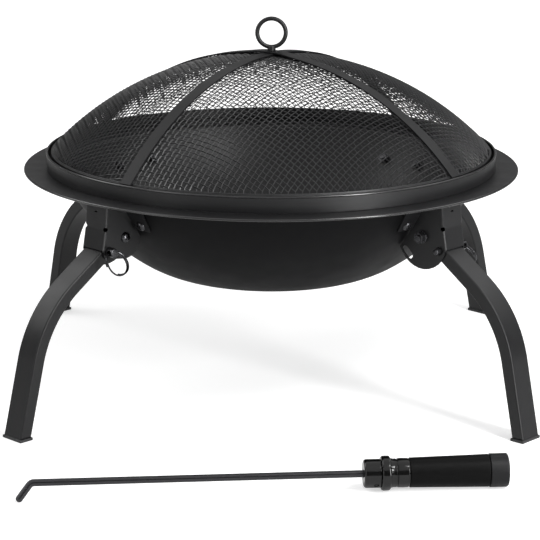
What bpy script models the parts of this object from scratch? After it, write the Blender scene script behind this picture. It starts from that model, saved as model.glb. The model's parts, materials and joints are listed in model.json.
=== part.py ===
"""Portable steel fire pit with a domed spark screen, four folding legs and a poker.

A pressed bowl with a wide rim hangs in four folded brackets. Each bracket carries one bent
rectangular leg on a pivot bolt, and a pin with a split ring locks the leg open. The lid is a
mesh dome in a steel band, held by two crossed straps and lifted by a ring. The poker lies on
the ground in front. Radial distances, named U, are measured out from the bowl's axis.
"""

import math

import bmesh
import bpy
from mathutils import Matrix, Vector

MM = 0.001

# Clearances
TOUCH = 0.3 * MM
HOLE_PLAY = 0.3 * MM
LEG_PLAY = 0.9 * MM
WIRE_GAP = 0.45 * MM
OVERLAP = 1.0 * MM

# Bowl
RIM_RADIUS = 279.4 * MM
RIM_TOP = 243.5 * MM
BOWL_SHEET = 1.2 * MM
MOUTH_CORNER = 4.0 * MM
BOWL_DEPTH = 122.6 * MM
FLOOR_RADIUS = 82.0 * MM
KNUCKLE_RADIUS = 130.2 * MM
WALL_RADIUS = 206.0 * MM
KNUCKLE_TURN = math.radians(30.5)
HEM_WIDTH = 5.0 * MM
HEM_THICKNESS = 2.6 * MM
TURN_STEPS = 48
HANDLE_STEPS = 16
HOLE_STEPS = 12
SMALL_HOLE_STEPS = 8
WALL_STEPS = 6
DRILL_REACH = 8.0 * MM

# Lid
SKIRT_INSET = 25.7 * MM
SKIRT_SHEET = 1.2 * MM
SKIRT_HEIGHT = 18.3 * MM
SKIRT_BEAD = 1.3 * MM
BEAD_LAP = 0.6 * MM
MESH_INSET = 5.0 * MM
MESH_RISE = 106.1 * MM
MESH_THICKNESS = 1.6 * MM
MESH_PITCH = 43.0 * MM
MESH_TURN = math.radians(45.0)
MESH_BAND_SHEET = 1.4 * MM
MESH_BAND_HEIGHT = 10.0 * MM
MESH_BAND_LAP = 1.2 * MM
STRAP_WIDTH = 15.0 * MM
STRAP_THICKNESS = 1.8 * MM
STRAP_TUCK = 9.0 * MM
STRAP_AZIMUTHS = (math.radians(52.2), math.radians(-37.8))
LIFT_RING_RADIUS = 15.95 * MM
LIFT_RING_WIRE = 2.4 * MM
LIFT_NECK_RADIUS = 4.6 * MM
LIFT_NECK_HEIGHT = 5.0 * MM
NECK_SOFT = 0.8 * MM
LIFT_STEM_RADIUS = 3.0 * MM
LIFT_STEM_LENGTH = 13.0 * MM
LIFT_NUT_WIDTH = 10.0 * MM
LIFT_NUT_HEIGHT = 5.0 * MM

# Legs
LEG_AZIMUTH = math.radians(46.5)
BOWL_TURN = math.radians(1.1)
LEG_LEAN = 0.026
PIVOT_U = 234.6 * MM
PIVOT_DROP = 43.7 * MM
LEG_WIDTH = 28.4 * MM
LEG_DEPTH = 14.4 * MM
LEG_WALL = 1.5 * MM
LEG_CORNER = 1.8 * MM
LEG_TAIL = 9.0 * MM
LEG_START = math.radians(34.6)
LEG_END = math.radians(76.9)
LEG_STRAIGHT = 79.7 * MM
LEG_OFFSET = 1.25 * MM
LEG_BEND_RADIUS = 123.3 * MM
CAP_THICKNESS = 3.2 * MM
CAP_LIP = 1.2 * MM
CAP_PLUG = 12.0 * MM
CAP_SOFT = 0.7 * MM

# Brackets
BRACKET_SHEET = 1.5 * MM
BRACKET_FOLD_RADIUS = 2.0 * MM
FACE_TOP_U = 260.0 * MM
FACE_KINK_U = 262.4 * MM
FACE_KINK_RISE = 12.4 * MM
FACE_BOTTOM_U = 266.5 * MM
FACE_BOTTOM_DROP = 9.8 * MM
CHEEK_DROP = 2.8 * MM
HEAD_CHEEK_INSET = 0.6 * MM
HEAD_CHEEK_DROP = 2.2 * MM
HEAD_CHEEK_RADIUS = 21.0 * MM
PIN_LOBE_RADIUS = 8.6 * MM
RELIEF_RADIUS = 2.5 * MM
OPEN_SLOT_CIRCLE = 28.4 * MM
OPEN_SLOT_ANGLE = math.radians(-134.4)
OPEN_SLOT_SPREAD = math.radians(8.3)
OPEN_SLOT_RADIUS = 4.0 * MM
FACE_SLOT_WIDTH = 4.2 * MM
FACE_SLOT_HEIGHT = 1.6 * MM
FACE_SLOT_DROP = 13.9 * MM
EAR_REACH = 27.5 * MM
EAR_DROP = 30.5 * MM
EAR_LENGTH = 29.0 * MM
EAR_BELOW_BOLT = 7.0 * MM
EAR_OUTER = 10.5 * MM

# Pivot bolts
PIVOT_RADIUS = 3.75 * MM
PIVOT_HEAD_RADIUS = 5.9 * MM
PIVOT_HEAD_HEIGHT = 3.4 * MM
PIVOT_WASHER_RADIUS = 6.9 * MM
PIVOT_WASHER = 1.4 * MM
PIVOT_NUT_WIDTH = 11.0 * MM
PIVOT_NUT_HEIGHT = 6.0 * MM
PIVOT_TIP = 1.4 * MM
RECESS_WIDTH = 1.3 * MM
RECESS_LENGTH = 6.0 * MM
RECESS_DEPTH = 1.7 * MM

# Lock pins and their rings
PIN_CIRCLE = 25.9 * MM
PIN_ANGLE = math.radians(27.8)
PIN_RADIUS = 3.3 * MM
PIN_HOLE_RADIUS = 4.6 * MM
PIN_TIP = 6.5 * MM
PIN_HEAD_RADIUS = 5.2 * MM
PIN_HEAD_LENGTH = 10.0 * MM
PIN_EYE_RADIUS = 3.1 * MM
RING_RADIUS = 13.3 * MM
RING_WIRE = 0.95 * MM
RING_SWING = math.radians(35.0)
RING_POINTS_A_TURN = 24
RING_JOG = math.radians(30.0)
RING_SEAM = math.radians(-35.0)

# Ear bolts
EAR_BOLT_RADIUS = 2.9 * MM
EAR_HEAD_RADIUS = 5.7 * MM
EAR_HEAD_HEIGHT = 3.0 * MM
EAR_NUT_WIDTH = 10.0 * MM
EAR_NUT_HEIGHT = 4.8 * MM
EAR_TIP = 1.6 * MM

# Poker
ROD_RADIUS = 3.6 * MM
HOOK_BEND = math.radians(53.0)
HOOK_LENGTH = 19.0 * MM
HOOK_BEND_RADIUS = 6.0 * MM
ROD_LENGTH = 327.0 * MM
POKER_YAW = math.radians(5.2)
POKER_TIP_X = -244.6 * MM
SET_FRONT = 453.0 * MM
FERRULE_RADIUS = 14.35 * MM
FERRULE_LENGTH = 17.0 * MM
FERRULE_SOFT = 0.8 * MM
FLANGE_RADIUS = 17.35 * MM
FLANGE_LENGTH = 9.5 * MM
NECK_RADIUS = 14.2 * MM
NECK_LENGTH = 5.5 * MM
COLLAR_RADIUS = 14.5 * MM
COLLAR_LENGTH = 10.7 * MM
GROOVE_DEPTH = 1.0 * MM
GROOVE_WIDTH = 1.4 * MM
GRIP_START_RADIUS = 14.85 * MM
GRIP_END_RADIUS = 16.3 * MM
GRIP_LENGTH = 78.9 * MM
BUTT_RADIUS = 16.85 * MM
BUTT_LENGTH = 18.4 * MM
BUTT_CROWN = 1.6 * MM
GRIP_SOFT = 1.5 * MM
ROD_SOCKET = 60.0 * MM
FERRULE_SPIGOT = 11.0 * MM

# Levels worked out from the sizes above
BOWL_AXIS_Y = (SET_FRONT - RIM_RADIUS) / 2
RIM_MID = RIM_TOP - BOWL_SHEET / 2
RIM_UNDER = RIM_TOP - BOWL_SHEET
BRACKET_TOP = RIM_UNDER - TOUCH
BOWL_FLOOR = RIM_MID - BOWL_DEPTH
SKIRT_RADIUS = RIM_RADIUS - SKIRT_INSET
MESH_BASE_RADIUS = SKIRT_RADIUS - SKIRT_SHEET - MESH_INSET
PIVOT_HEIGHT = RIM_TOP - PIVOT_DROP
EAR_HEIGHT = RIM_TOP - EAR_DROP
KNUCKLE_CENTRE = (FLOOR_RADIUS, BOWL_FLOOR + KNUCKLE_RADIUS)
WALL_CENTRE = (
    FLOOR_RADIUS - (WALL_RADIUS - KNUCKLE_RADIUS) * math.sin(KNUCKLE_TURN),
    KNUCKLE_CENTRE[1] + (WALL_RADIUS - KNUCKLE_RADIUS) * math.cos(KNUCKLE_TURN),
)
MOUTH_SLOPE = math.acos((WALL_CENTRE[1] + MOUTH_CORNER - RIM_MID) / (WALL_RADIUS + MOUTH_CORNER))
FACET_DIP = RIM_RADIUS * (1 - math.cos(math.pi / TURN_STEPS))
FACET_DIP += WALL_RADIUS * (1 - math.cos((MOUTH_SLOPE - KNUCKLE_TURN) / WALL_STEPS / 2))
EAR_SEAT_INSIDE = -BOWL_SHEET / 2 - TOUCH - FACET_DIP
EAR_SEAT_OUTSIDE = BOWL_SHEET / 2 + TOUCH + BRACKET_SHEET + TOUCH
FACE_KINK_HEIGHT = PIVOT_HEIGHT + FACE_KINK_RISE
FACE_BOTTOM_HEIGHT = PIVOT_HEIGHT - FACE_BOTTOM_DROP
FACE_SLOT_LEVEL = RIM_TOP - FACE_SLOT_DROP
CHEEK_CENTRE = (PIVOT_U, PIVOT_HEIGHT - CHEEK_DROP)
HEAD_CHEEK_CENTRE = (PIVOT_U - HEAD_CHEEK_INSET, PIVOT_HEIGHT - HEAD_CHEEK_DROP)
PIN_U = PIVOT_U + PIN_CIRCLE * math.cos(PIN_ANGLE)
PIN_HEIGHT = PIVOT_HEIGHT - PIN_CIRCLE * math.sin(PIN_ANGLE)
SKIRT_FOOT = RIM_TOP + TOUCH
SKIRT_TOP = SKIRT_FOOT + SKIRT_HEIGHT
MESH_TOP = SKIRT_TOP + MESH_RISE
STRAP_LIFT = MESH_THICKNESS / 2 + TOUCH + STRAP_THICKNESS / 2
STRAP_FOOT_RADIUS = (SKIRT_RADIUS - SKIRT_SHEET + MESH_BASE_RADIUS) / 2
STRAP_TOPS = (
    MESH_TOP + STRAP_LIFT + STRAP_THICKNESS + TOUCH,
    MESH_TOP + STRAP_LIFT,
)
NECK_FOOT = STRAP_TOPS[0] + STRAP_THICKNESS / 2 + TOUCH
NUT_TOP = MESH_TOP - MESH_THICKNESS / 2 - TOUCH
BRACKET_WIDTH = LEG_WIDTH + 2 * LEG_PLAY + 2 * BRACKET_SHEET
CHEEK_FACE = BRACKET_WIDTH / 2
STATIONS = {
    "front_right": LEG_AZIMUTH + BOWL_TURN,
    "back_right": math.pi - LEG_AZIMUTH + BOWL_TURN,
    "back_left": math.pi + LEG_AZIMUTH + BOWL_TURN,
    "front_left": BOWL_TURN - LEG_AZIMUTH,
}
QUARTER_TURN = math.pi / 2


def clear_scene():
    for obj in list(bpy.data.objects):
        bpy.data.objects.remove(obj)


def new_collection(name):
    collection = bpy.data.collections.new(name)
    bpy.context.scene.collection.children.link(collection)
    return collection


def new_material(name, colour, roughness, metallic):
    material = bpy.data.materials.new(name)
    material.use_nodes = True
    shader = material.node_tree.nodes["Principled BSDF"]
    shader.inputs["Base Color"].default_value = (*colour, 1.0)
    shader.inputs["Roughness"].default_value = roughness
    shader.inputs["Metallic"].default_value = metallic
    material.diffuse_color = (*colour, 1.0)
    return material


def add_empty(name, matrix, parent=None):
    """An empty placed by a matrix in its parent's frame."""
    empty = bpy.data.objects.new(name, None)
    empty.empty_display_size = 20 * MM
    PARTS.objects.link(empty)
    empty.parent = parent
    empty.matrix_local = matrix
    return empty


def add_part(name, mesh, material, parent=None, matrix=None):
    """A named piece that shows a mesh, placed in its parent's frame."""
    obj = bpy.data.objects.new(name, mesh)
    PARTS.objects.link(obj)
    obj.parent = parent
    obj.matrix_local = matrix or Matrix()
    if not mesh.materials:
        mesh.materials.append(material)
    mesh.shade_smooth()
    mesh.set_sharp_from_angle(angle=math.radians(35))
    return obj


def settled_mesh(obj, matrix=None):
    """The evaluated mesh of a working object, which is removed."""
    bpy.context.scene.collection.objects.link(obj)
    bpy.context.view_layer.update()
    graph = bpy.context.evaluated_depsgraph_get()
    mesh = bpy.data.meshes.new_from_object(obj.evaluated_get(graph))
    bpy.data.objects.remove(obj)
    if matrix is not None:
        mesh.transform(matrix)
    return mesh


def mesh_from(bm):
    mesh = bpy.data.meshes.new("shape")
    bm.to_mesh(mesh)
    bm.free()
    return mesh


def welded(mesh):
    bm = bmesh.new()
    bm.from_mesh(mesh)
    bmesh.ops.remove_doubles(bm, verts=bm.verts, dist=0.001 * MM)
    bmesh.ops.recalc_face_normals(bm, faces=bm.faces)
    bm.to_mesh(mesh)
    bm.free()
    return mesh


def combined(base, tool, operation):
    """Union, difference or intersection of two meshes."""
    first = bpy.data.objects.new("base", base)
    second = bpy.data.objects.new("tool", tool)
    bpy.context.scene.collection.objects.link(second)
    modifier = first.modifiers.new("Boolean", "BOOLEAN")
    modifier.operation = operation
    modifier.solver = "EXACT"
    modifier.object = second
    mesh = settled_mesh(first)
    bpy.data.objects.remove(second)
    return mesh


def block(size, centre, matrix=None, corner=0.0):
    """A box with its edges rounded by corner."""
    bm = bmesh.new()
    bmesh.ops.create_cube(bm, size=1.0)
    bmesh.ops.scale(bm, vec=size, verts=bm.verts)
    if corner:
        bmesh.ops.bevel(bm, geom=bm.edges, offset=corner, segments=1, profile=0.5, affect="EDGES")
    bmesh.ops.translate(bm, vec=centre, verts=bm.verts)
    if matrix is not None:
        bmesh.ops.transform(bm, matrix=matrix, verts=bm.verts)
    return mesh_from(bm)


def cylinder(radius, start, end, sides=24):
    """A cylinder along Y from start to end."""
    bm = bmesh.new()
    bmesh.ops.create_cone(
        bm, cap_ends=True, segments=sides, radius1=radius, radius2=radius, depth=end - start
    )
    bmesh.ops.rotate(bm, matrix=Matrix.Rotation(-QUARTER_TURN, 3, "X"), verts=bm.verts)
    bmesh.ops.translate(bm, vec=(0, (start + end) / 2, 0), verts=bm.verts)
    return mesh_from(bm)


def moved(mesh, x=0.0, y=0.0, z=0.0):
    mesh.transform(Matrix.Translation((x, y, z)))
    return mesh


def turned(profile, steps=TURN_STEPS):
    """A profile of (radius, height) points turned round Z."""
    mesh = bpy.data.meshes.new("profile")
    lines = [(i, i + 1) for i in range(len(profile) - 1)]
    mesh.from_pydata([(r, 0, z) for r, z in profile], lines, [])
    obj = bpy.data.objects.new("profile", mesh)
    screw = obj.modifiers.new("Screw", "SCREW")
    screw.steps = steps
    screw.render_steps = steps
    screw.use_merge_vertices = True
    screw.merge_threshold = 0.00001
    screw.use_normal_calculate = True
    return welded(settled_mesh(obj))


def upright(mesh):
    """Turns a shape made along +Z so that it runs along +Y."""
    mesh.transform(Matrix.Rotation(-QUARTER_TURN, 4, "X"))
    return mesh


def plate(outline, width, corner=0.0, corner_steps=1):
    """An outline in the XZ plane made width thick along Y, with its long edges rounded."""
    curve = bpy.data.curves.new("outline", "CURVE")
    curve.dimensions = "2D"
    curve.fill_mode = "BOTH"
    curve.extrude = width / 2 - corner
    curve.bevel_depth = corner
    curve.bevel_resolution = corner_steps
    curve.offset = -corner
    spline = curve.splines.new("POLY")
    spline.points.add(len(outline) - 1)
    for point, (x, z) in zip(spline.points, outline):
        point.co = (x, z, 0, 1)
    spline.use_cyclic_u = True
    flat_to_upright = Matrix.Rotation(QUARTER_TURN, 4, "X")
    return welded(settled_mesh(bpy.data.objects.new("outline", curve), flat_to_upright))


def tube(points, radius, resolution):
    """A round wire along a list of points, as a closed mesh."""
    curve = bpy.data.curves.new("wire", "CURVE")
    curve.dimensions = "3D"
    curve.bevel_depth = radius
    curve.bevel_resolution = resolution
    curve.use_fill_caps = True
    spline = curve.splines.new("POLY")
    spline.points.add(len(points) - 1)
    for point, place in zip(spline.points, points):
        point.co = (*place, 1)
    return welded(settled_mesh(bpy.data.objects.new("wire", curve)))


def hex_nut(width, height, hole_radius):
    """A hexagonal nut along +Y from zero, bored right through."""
    body = cylinder(width / math.sqrt(3), 0, height, sides=6)
    bore = cylinder(hole_radius, -OVERLAP, height + OVERLAP, sides=SMALL_HOLE_STEPS)
    return combined(body, bore, "DIFFERENCE")


def arc(centre, radius, start, end, steps):
    """Points of an arc from one angle to another, ends included."""
    return [
        (
            centre[0] + radius * math.cos(start + (end - start) * i / steps),
            centre[1] + radius * math.sin(start + (end - start) * i / steps),
        )
        for i in range(steps + 1)
    ]


def circles_meet(centre, radius, other_centre, other_radius):
    """Angle on the first circle at which the other crosses it, taking the lower crossing."""
    between = Vector(other_centre) - Vector(centre)
    along = (between.length_squared + radius**2 - other_radius**2) / (2 * between.length)
    toward = math.atan2(between.y, between.x)
    return toward + math.acos(along / radius)


def wall_slope(height):
    """Angle from level of the bowl's wall at a height."""
    return math.acos((WALL_CENTRE[1] - height) / WALL_RADIUS)


def wall_radius(height):
    """Radius of the middle of the bowl's curved wall at a height."""
    return WALL_CENTRE[0] + WALL_RADIUS * math.sin(wall_slope(height))


def bowl_path(offset):
    """Half section of the bowl's sheet, moved out of its middle by offset, from the axis to the rim."""
    corner_centre = (
        WALL_CENTRE[0] + (WALL_RADIUS + MOUTH_CORNER) * math.sin(MOUTH_SLOPE),
        RIM_MID - MOUTH_CORNER,
    )
    bend = KNUCKLE_TURN - QUARTER_TURN
    top = MOUTH_SLOPE - QUARTER_TURN
    knuckle = arc(KNUCKLE_CENTRE, KNUCKLE_RADIUS + offset, -QUARTER_TURN, bend, 3)
    wall = arc(WALL_CENTRE, WALL_RADIUS + offset, bend, top, WALL_STEPS)
    corner = arc(corner_centre, MOUTH_CORNER - offset, top + math.pi, QUARTER_TURN, 2)
    return [(0.0, BOWL_FLOOR - offset)] + knuckle + wall[1:] + corner[1:]


def make_bowl(material):
    """Bowl, flat rim and folded hem in one sheet, with holes for the ear bolts."""
    inner = bowl_path(-BOWL_SHEET / 2)
    outer = bowl_path(BOWL_SHEET / 2)
    half_hem = HEM_THICKNESS / 2
    hem_z = RIM_TOP - half_hem
    edge = arc((RIM_RADIUS - half_hem, hem_z), half_hem, QUARTER_TURN, -QUARTER_TURN, 4)
    hem_end = [
        (RIM_RADIUS - HEM_WIDTH, RIM_TOP - HEM_THICKNESS),
        (RIM_RADIUS - HEM_WIDTH, RIM_UNDER),
    ]
    mesh = turned(inner + edge + hem_end + outer[::-1])
    bowl = add_part("bowl", mesh, material, PIT)
    drills = []
    for station in STATIONS:
        for side in (-1, 1):
            radius = EAR_BOLT_RADIUS + HOLE_PLAY
            drill = cylinder(radius, -DRILL_REACH, DRILL_REACH, sides=SMALL_HOLE_STEPS)
            drill.transform(station_matrix(station) @ ear_matrix(side, 0.0))
            drills.append(drill)
    cutter = drills[0]
    for drill in drills[1:]:
        cutter = combined(cutter, drill, "UNION")
    add_cutter(bowl, "ear_bolt_drills", cutter)


def add_cutter(target, name, mesh):
    """Cuts target with a mesh that is kept as a hidden tool."""
    cutter = bpy.data.objects.new(name, mesh)
    cutter.hide_render = True
    cutter.display_type = "WIRE"
    CUTTERS.objects.link(cutter)
    cutter.parent = target.parent
    cutter.matrix_local = target.matrix_local
    modifier = target.modifiers.new(name, "BOOLEAN")
    modifier.operation = "DIFFERENCE"
    modifier.solver = "EXACT"
    modifier.object = cutter


def station_matrix(station):
    """Frame of a leg station: X points out from the bowl's axis, Y to the right seen from outside."""
    return Matrix.Rotation(STATIONS[station] - QUARTER_TURN, 4, "Z")


def ear_matrix(side, lift):
    """Frame on the bowl's wall at an ear bolt: Y along the bolt, outwards, lift from the sheet's middle."""
    reach = math.asin(EAR_REACH / wall_radius(EAR_HEIGHT))
    tilt = Matrix.Rotation(QUARTER_TURN - wall_slope(EAR_HEIGHT), 4, "Y")
    out = Matrix.Rotation(-QUARTER_TURN, 4, "Z")
    place = Matrix.Translation((wall_radius(EAR_HEIGHT), 0, EAR_HEIGHT))
    turn = Matrix.Rotation(side * reach, 4, "Z")
    return turn @ place @ tilt @ out @ Matrix.Translation((0, lift, 0))


def cheek_outline():
    """Side view of a bracket: leaning front, round lower end, back that follows the bowl."""
    top = (FACE_TOP_U, BRACKET_TOP)
    kink = (FACE_KINK_U, FACE_KINK_HEIGHT)
    bottom = (FACE_BOTTOM_U, FACE_BOTTOM_HEIGHT)
    round_start = Vector(bottom) - Vector(CHEEK_CENTRE)
    round_radius = round_start.length
    first = math.atan2(round_start.y, round_start.x)
    clear = WALL_RADIUS + BOWL_SHEET / 2 + TOUCH
    last = circles_meet(CHEEK_CENTRE, round_radius, WALL_CENTRE, clear) - 2 * math.pi
    low_end = arc(CHEEK_CENTRE, round_radius, first, last, 12)
    meeting = Vector(low_end[-1]) - Vector(WALL_CENTRE)
    back_start = math.atan2(meeting.y, meeting.x)
    back_end = wall_slope(BRACKET_TOP - 2 * MOUTH_CORNER) - QUARTER_TURN
    back = arc(WALL_CENTRE, clear, back_start, back_end, 3)
    return [top, kink] + low_end + back[1:] + [(back[-1][0] + 2 * MOUTH_CORNER, BRACKET_TOP)]


def head_cheek_outline():
    """Lower end of the cheek under the bolt's head: a small round end and a lobe for the pin."""
    pin = (PIN_U, PIN_HEIGHT)
    lobe = arc(pin, PIN_LOBE_RADIUS, math.radians(10), math.radians(-105), 5)
    end = arc(HEAD_CHEEK_CENTRE, HEAD_CHEEK_RADIUS, math.radians(-80), math.radians(-200), 8)
    above = BRACKET_TOP + OVERLAP
    return lobe + end + [(end[-1][0], above), (lobe[0][0], above)]


def ear_blank(side):
    """Tab bent off a cheek that lies flat against the bowl's wall."""
    lift = BOWL_SHEET / 2 + TOUCH + BRACKET_SHEET / 2
    inner = EAR_REACH - CHEEK_FACE + BRACKET_SHEET
    width = inner + EAR_OUTER
    size = (width, BRACKET_SHEET, EAR_LENGTH)
    centre = (-side * (EAR_OUTER - inner) / 2, 0, EAR_LENGTH / 2 - EAR_BELOW_BOLT)
    blank = block(size, centre)
    hole = cylinder(EAR_BOLT_RADIUS + HOLE_PLAY, -BRACKET_SHEET, BRACKET_SHEET, sides=SMALL_HOLE_STEPS)
    blank = combined(blank, hole, "DIFFERENCE")
    blank.transform(ear_matrix(side, lift))
    return blank


def fold_edges(mesh):
    """Rounds the two edges where the front face folds back into the cheeks."""
    kink = (FACE_KINK_U, FACE_KINK_HEIGHT)
    folds = [(FACE_TOP_U, BRACKET_TOP), kink, (FACE_BOTTOM_U, FACE_BOTTOM_HEIGHT)]

    def on_fold(vert):
        return any(math.dist((vert.co.x, vert.co.z), fold) < HOLE_PLAY for fold in folds)

    bm = bmesh.new()
    bm.from_mesh(mesh)
    bends = [e for e in bm.edges if all(map(on_fold, e.verts)) and e.verts[0].co.y * e.verts[1].co.y > 0]
    bmesh.ops.bevel(bm, geom=bends, offset=BRACKET_FOLD_RADIUS, segments=2, profile=0.5, affect="EDGES")
    return mesh_from(bm)


def bracket_mesh():
    """Folded bracket: a leaning front face, two round cheeks and two ears."""
    body = fold_edges(plate(cheek_outline(), BRACKET_WIDTH))
    inside_width = BRACKET_WIDTH - 2 * BRACKET_SHEET
    beyond = 2 * BRACKET_WIDTH
    front = [
        (FACE_TOP_U - BRACKET_SHEET, BRACKET_TOP + OVERLAP),
        (FACE_KINK_U - BRACKET_SHEET, FACE_KINK_HEIGHT),
        (FACE_BOTTOM_U - BRACKET_SHEET, FACE_BOTTOM_HEIGHT),
        (FACE_BOTTOM_U + beyond, FACE_BOTTOM_HEIGHT),
        (FACE_BOTTOM_U + beyond, PIVOT_HEIGHT - beyond),
        (PIVOT_U - beyond, PIVOT_HEIGHT - beyond),
        (PIVOT_U - beyond, BRACKET_TOP + OVERLAP),
    ]
    body = combined(body, plate(front, inside_width), "DIFFERENCE")
    body = combined(body, head_cheek_trim(), "DIFFERENCE")
    ends = CHEEK_FACE + OVERLAP
    pivot = cylinder(PIVOT_RADIUS + HOLE_PLAY, -ends, ends, sides=HOLE_STEPS)
    body = combined(body, moved(pivot, x=PIVOT_U, z=PIVOT_HEIGHT), "DIFFERENCE")
    pin = cylinder(PIN_HOLE_RADIUS, -ends, ends, sides=HOLE_STEPS)
    body = combined(body, moved(pin, x=PIN_U, z=PIN_HEIGHT), "DIFFERENCE")
    body = combined(body, open_slot(ends), "DIFFERENCE")
    for side in (-1, 1):
        body = combined(body, relief_drill(side), "DIFFERENCE")
    slot_u = FACE_TOP_U + (FACE_KINK_U - FACE_TOP_U) / 2
    slot = block((4 * BRACKET_SHEET, FACE_SLOT_WIDTH, FACE_SLOT_HEIGHT), (slot_u, 0, FACE_SLOT_LEVEL))
    body = combined(body, slot, "DIFFERENCE")
    for side in (-1, 1):
        body = combined(body, ear_blank(side), "UNION")
    return body


def head_cheek_trim():
    """What the cheek under the bolt's head lacks of the other cheek's round end."""
    width = 2 * OVERLAP + BRACKET_SHEET
    reach = 4 * HEAD_CHEEK_RADIUS
    level = EAR_HEIGHT - EAR_BELOW_BOLT
    low = block((reach, width, reach), (PIVOT_U, 0, level - reach / 2))
    trim = combined(low, plate(head_cheek_outline(), width + OVERLAP), "DIFFERENCE")
    return moved(trim, y=CHEEK_FACE - BRACKET_SHEET / 2)


def open_slot(ends):
    """Oblong hole low in the cheek under the nut, bent round the pivot."""
    outline = []
    for spread, turn in ((-OPEN_SLOT_SPREAD, math.pi), (OPEN_SLOT_SPREAD, 0.0)):
        angle = OPEN_SLOT_ANGLE + spread
        centre = (OPEN_SLOT_CIRCLE * math.cos(angle), OPEN_SLOT_CIRCLE * math.sin(angle))
        outline += arc(centre, OPEN_SLOT_RADIUS, angle + turn, angle + turn + math.pi, 5)
    slot = plate(outline, ends)
    return moved(slot, x=PIVOT_U, y=-ends / 2, z=PIVOT_HEIGHT)


def relief_drill(side):
    """Round relief through a fold, bored square to the corner."""
    drill = cylinder(RELIEF_RADIUS, -3 * BRACKET_SHEET, 3 * BRACKET_SHEET, sides=SMALL_HOLE_STEPS)
    drill.transform(Matrix.Rotation(-side * math.pi / 4, 4, "Z"))
    fold_u = FACE_KINK_U - BRACKET_SHEET / 2
    fold_y = side * (CHEEK_FACE - BRACKET_SHEET / 2)
    return moved(drill, x=fold_u, y=fold_y, z=FACE_KINK_HEIGHT)


def leg_frame():
    """Directions and bend centre of the leg's middle line, seen from the side with the pivot at zero."""
    start_way = Vector((math.cos(LEG_START), -math.sin(LEG_START)))
    start_out = Vector((math.sin(LEG_START), math.cos(LEG_START)))
    bend_start = start_way * LEG_STRAIGHT + start_out * LEG_OFFSET
    bend_centre = bend_start - start_out * LEG_BEND_RADIUS
    return start_way, start_out, bend_centre


def leg_edge(offset, end_height, tail):
    """Side view of one edge of the leg, offset outwards from its centre line, down to end_height."""
    start_way, start_out, bend_centre = leg_frame()
    first = start_out * (LEG_OFFSET + offset) - start_way * tail
    radius = LEG_BEND_RADIUS + offset
    bend = arc(bend_centre, radius, QUARTER_TURN - LEG_START, QUARTER_TURN - LEG_END, 6)
    end_way = Vector((math.cos(LEG_END), -math.sin(LEG_END)))
    last = Vector(bend[-1])
    last += end_way * ((last.y - end_height) / math.sin(LEG_END))
    return [tuple(first)] + bend + [tuple(last)]


def leg_mesh():
    """Bent rectangular tube, drilled for the pivot and notched for the lock pin."""
    end = CAP_THICKNESS + TOUCH - PIVOT_HEIGHT
    half = LEG_DEPTH / 2
    outline = leg_edge(half, end, LEG_TAIL) + leg_edge(-half, end, LEG_TAIL)[::-1]
    body = plate(outline, LEG_WIDTH, LEG_CORNER, 0)
    bore_half = half - LEG_WALL
    low = end - CAP_PLUG
    bore = leg_edge(bore_half, low, 2 * LEG_TAIL) + leg_edge(-bore_half, low, 2 * LEG_TAIL)[::-1]
    body = combined(body, plate(bore, LEG_WIDTH - 2 * LEG_WALL), "DIFFERENCE")
    ends = LEG_WIDTH / 2 + OVERLAP
    body = combined(body, cylinder(PIVOT_RADIUS + HOLE_PLAY, -ends, ends, sides=HOLE_STEPS), "DIFFERENCE")
    return combined(body, pin_path_cutter(ends), "DIFFERENCE")


def pin_path_cutter(ends):
    """The way the locked pin takes out of the tube as the leg folds away from it."""
    clear = PIN_RADIUS + HOLE_PLAY
    leave = math.asin((LEG_DEPTH / 2 + LEG_OFFSET + clear) / PIN_CIRCLE) - LEG_START
    inner = arc((0, 0), PIN_CIRCLE - clear, -PIN_ANGLE, leave, 3)
    outer = arc((0, 0), PIN_CIRCLE + clear, leave, -PIN_ANGLE, 3)
    middle = Vector((PIN_CIRCLE * math.cos(PIN_ANGLE), -PIN_CIRCLE * math.sin(PIN_ANGLE)))
    nose = arc(middle, clear, -PIN_ANGLE, -PIN_ANGLE - math.pi, 8)[1:-1]
    return plate(inner + outer + nose, 2 * ends)


def cap_mesh():
    """Plastic foot cap: a flat shoe with a plug that enters the tube."""
    half = LEG_DEPTH / 2
    end = CAP_THICKNESS + TOUCH - PIVOT_HEIGHT
    outer_end = leg_edge(half, end, 0)[-1][0]
    inner_end = leg_edge(-half, end, 0)[-1][0]
    length = outer_end - inner_end + 2 * CAP_LIP
    centre = ((outer_end + inner_end) / 2, 0, CAP_THICKNESS / 2 - PIVOT_HEIGHT)
    shoe = block((length, LEG_WIDTH + 2 * CAP_LIP, CAP_THICKNESS), centre, corner=CAP_SOFT)
    plug_half = half - LEG_WALL - TOUCH
    high = end + CAP_PLUG
    low = end - OVERLAP - TOUCH
    plug = [
        leg_edge(plug_half, low, 0)[-1],
        leg_edge(plug_half, high, 0)[-1],
        leg_edge(-plug_half, high, 0)[-1],
        leg_edge(-plug_half, low, 0)[-1],
    ]
    return combined(shoe, plate(plug, LEG_WIDTH - 2 * LEG_WALL - 2 * TOUCH), "UNION")


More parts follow.
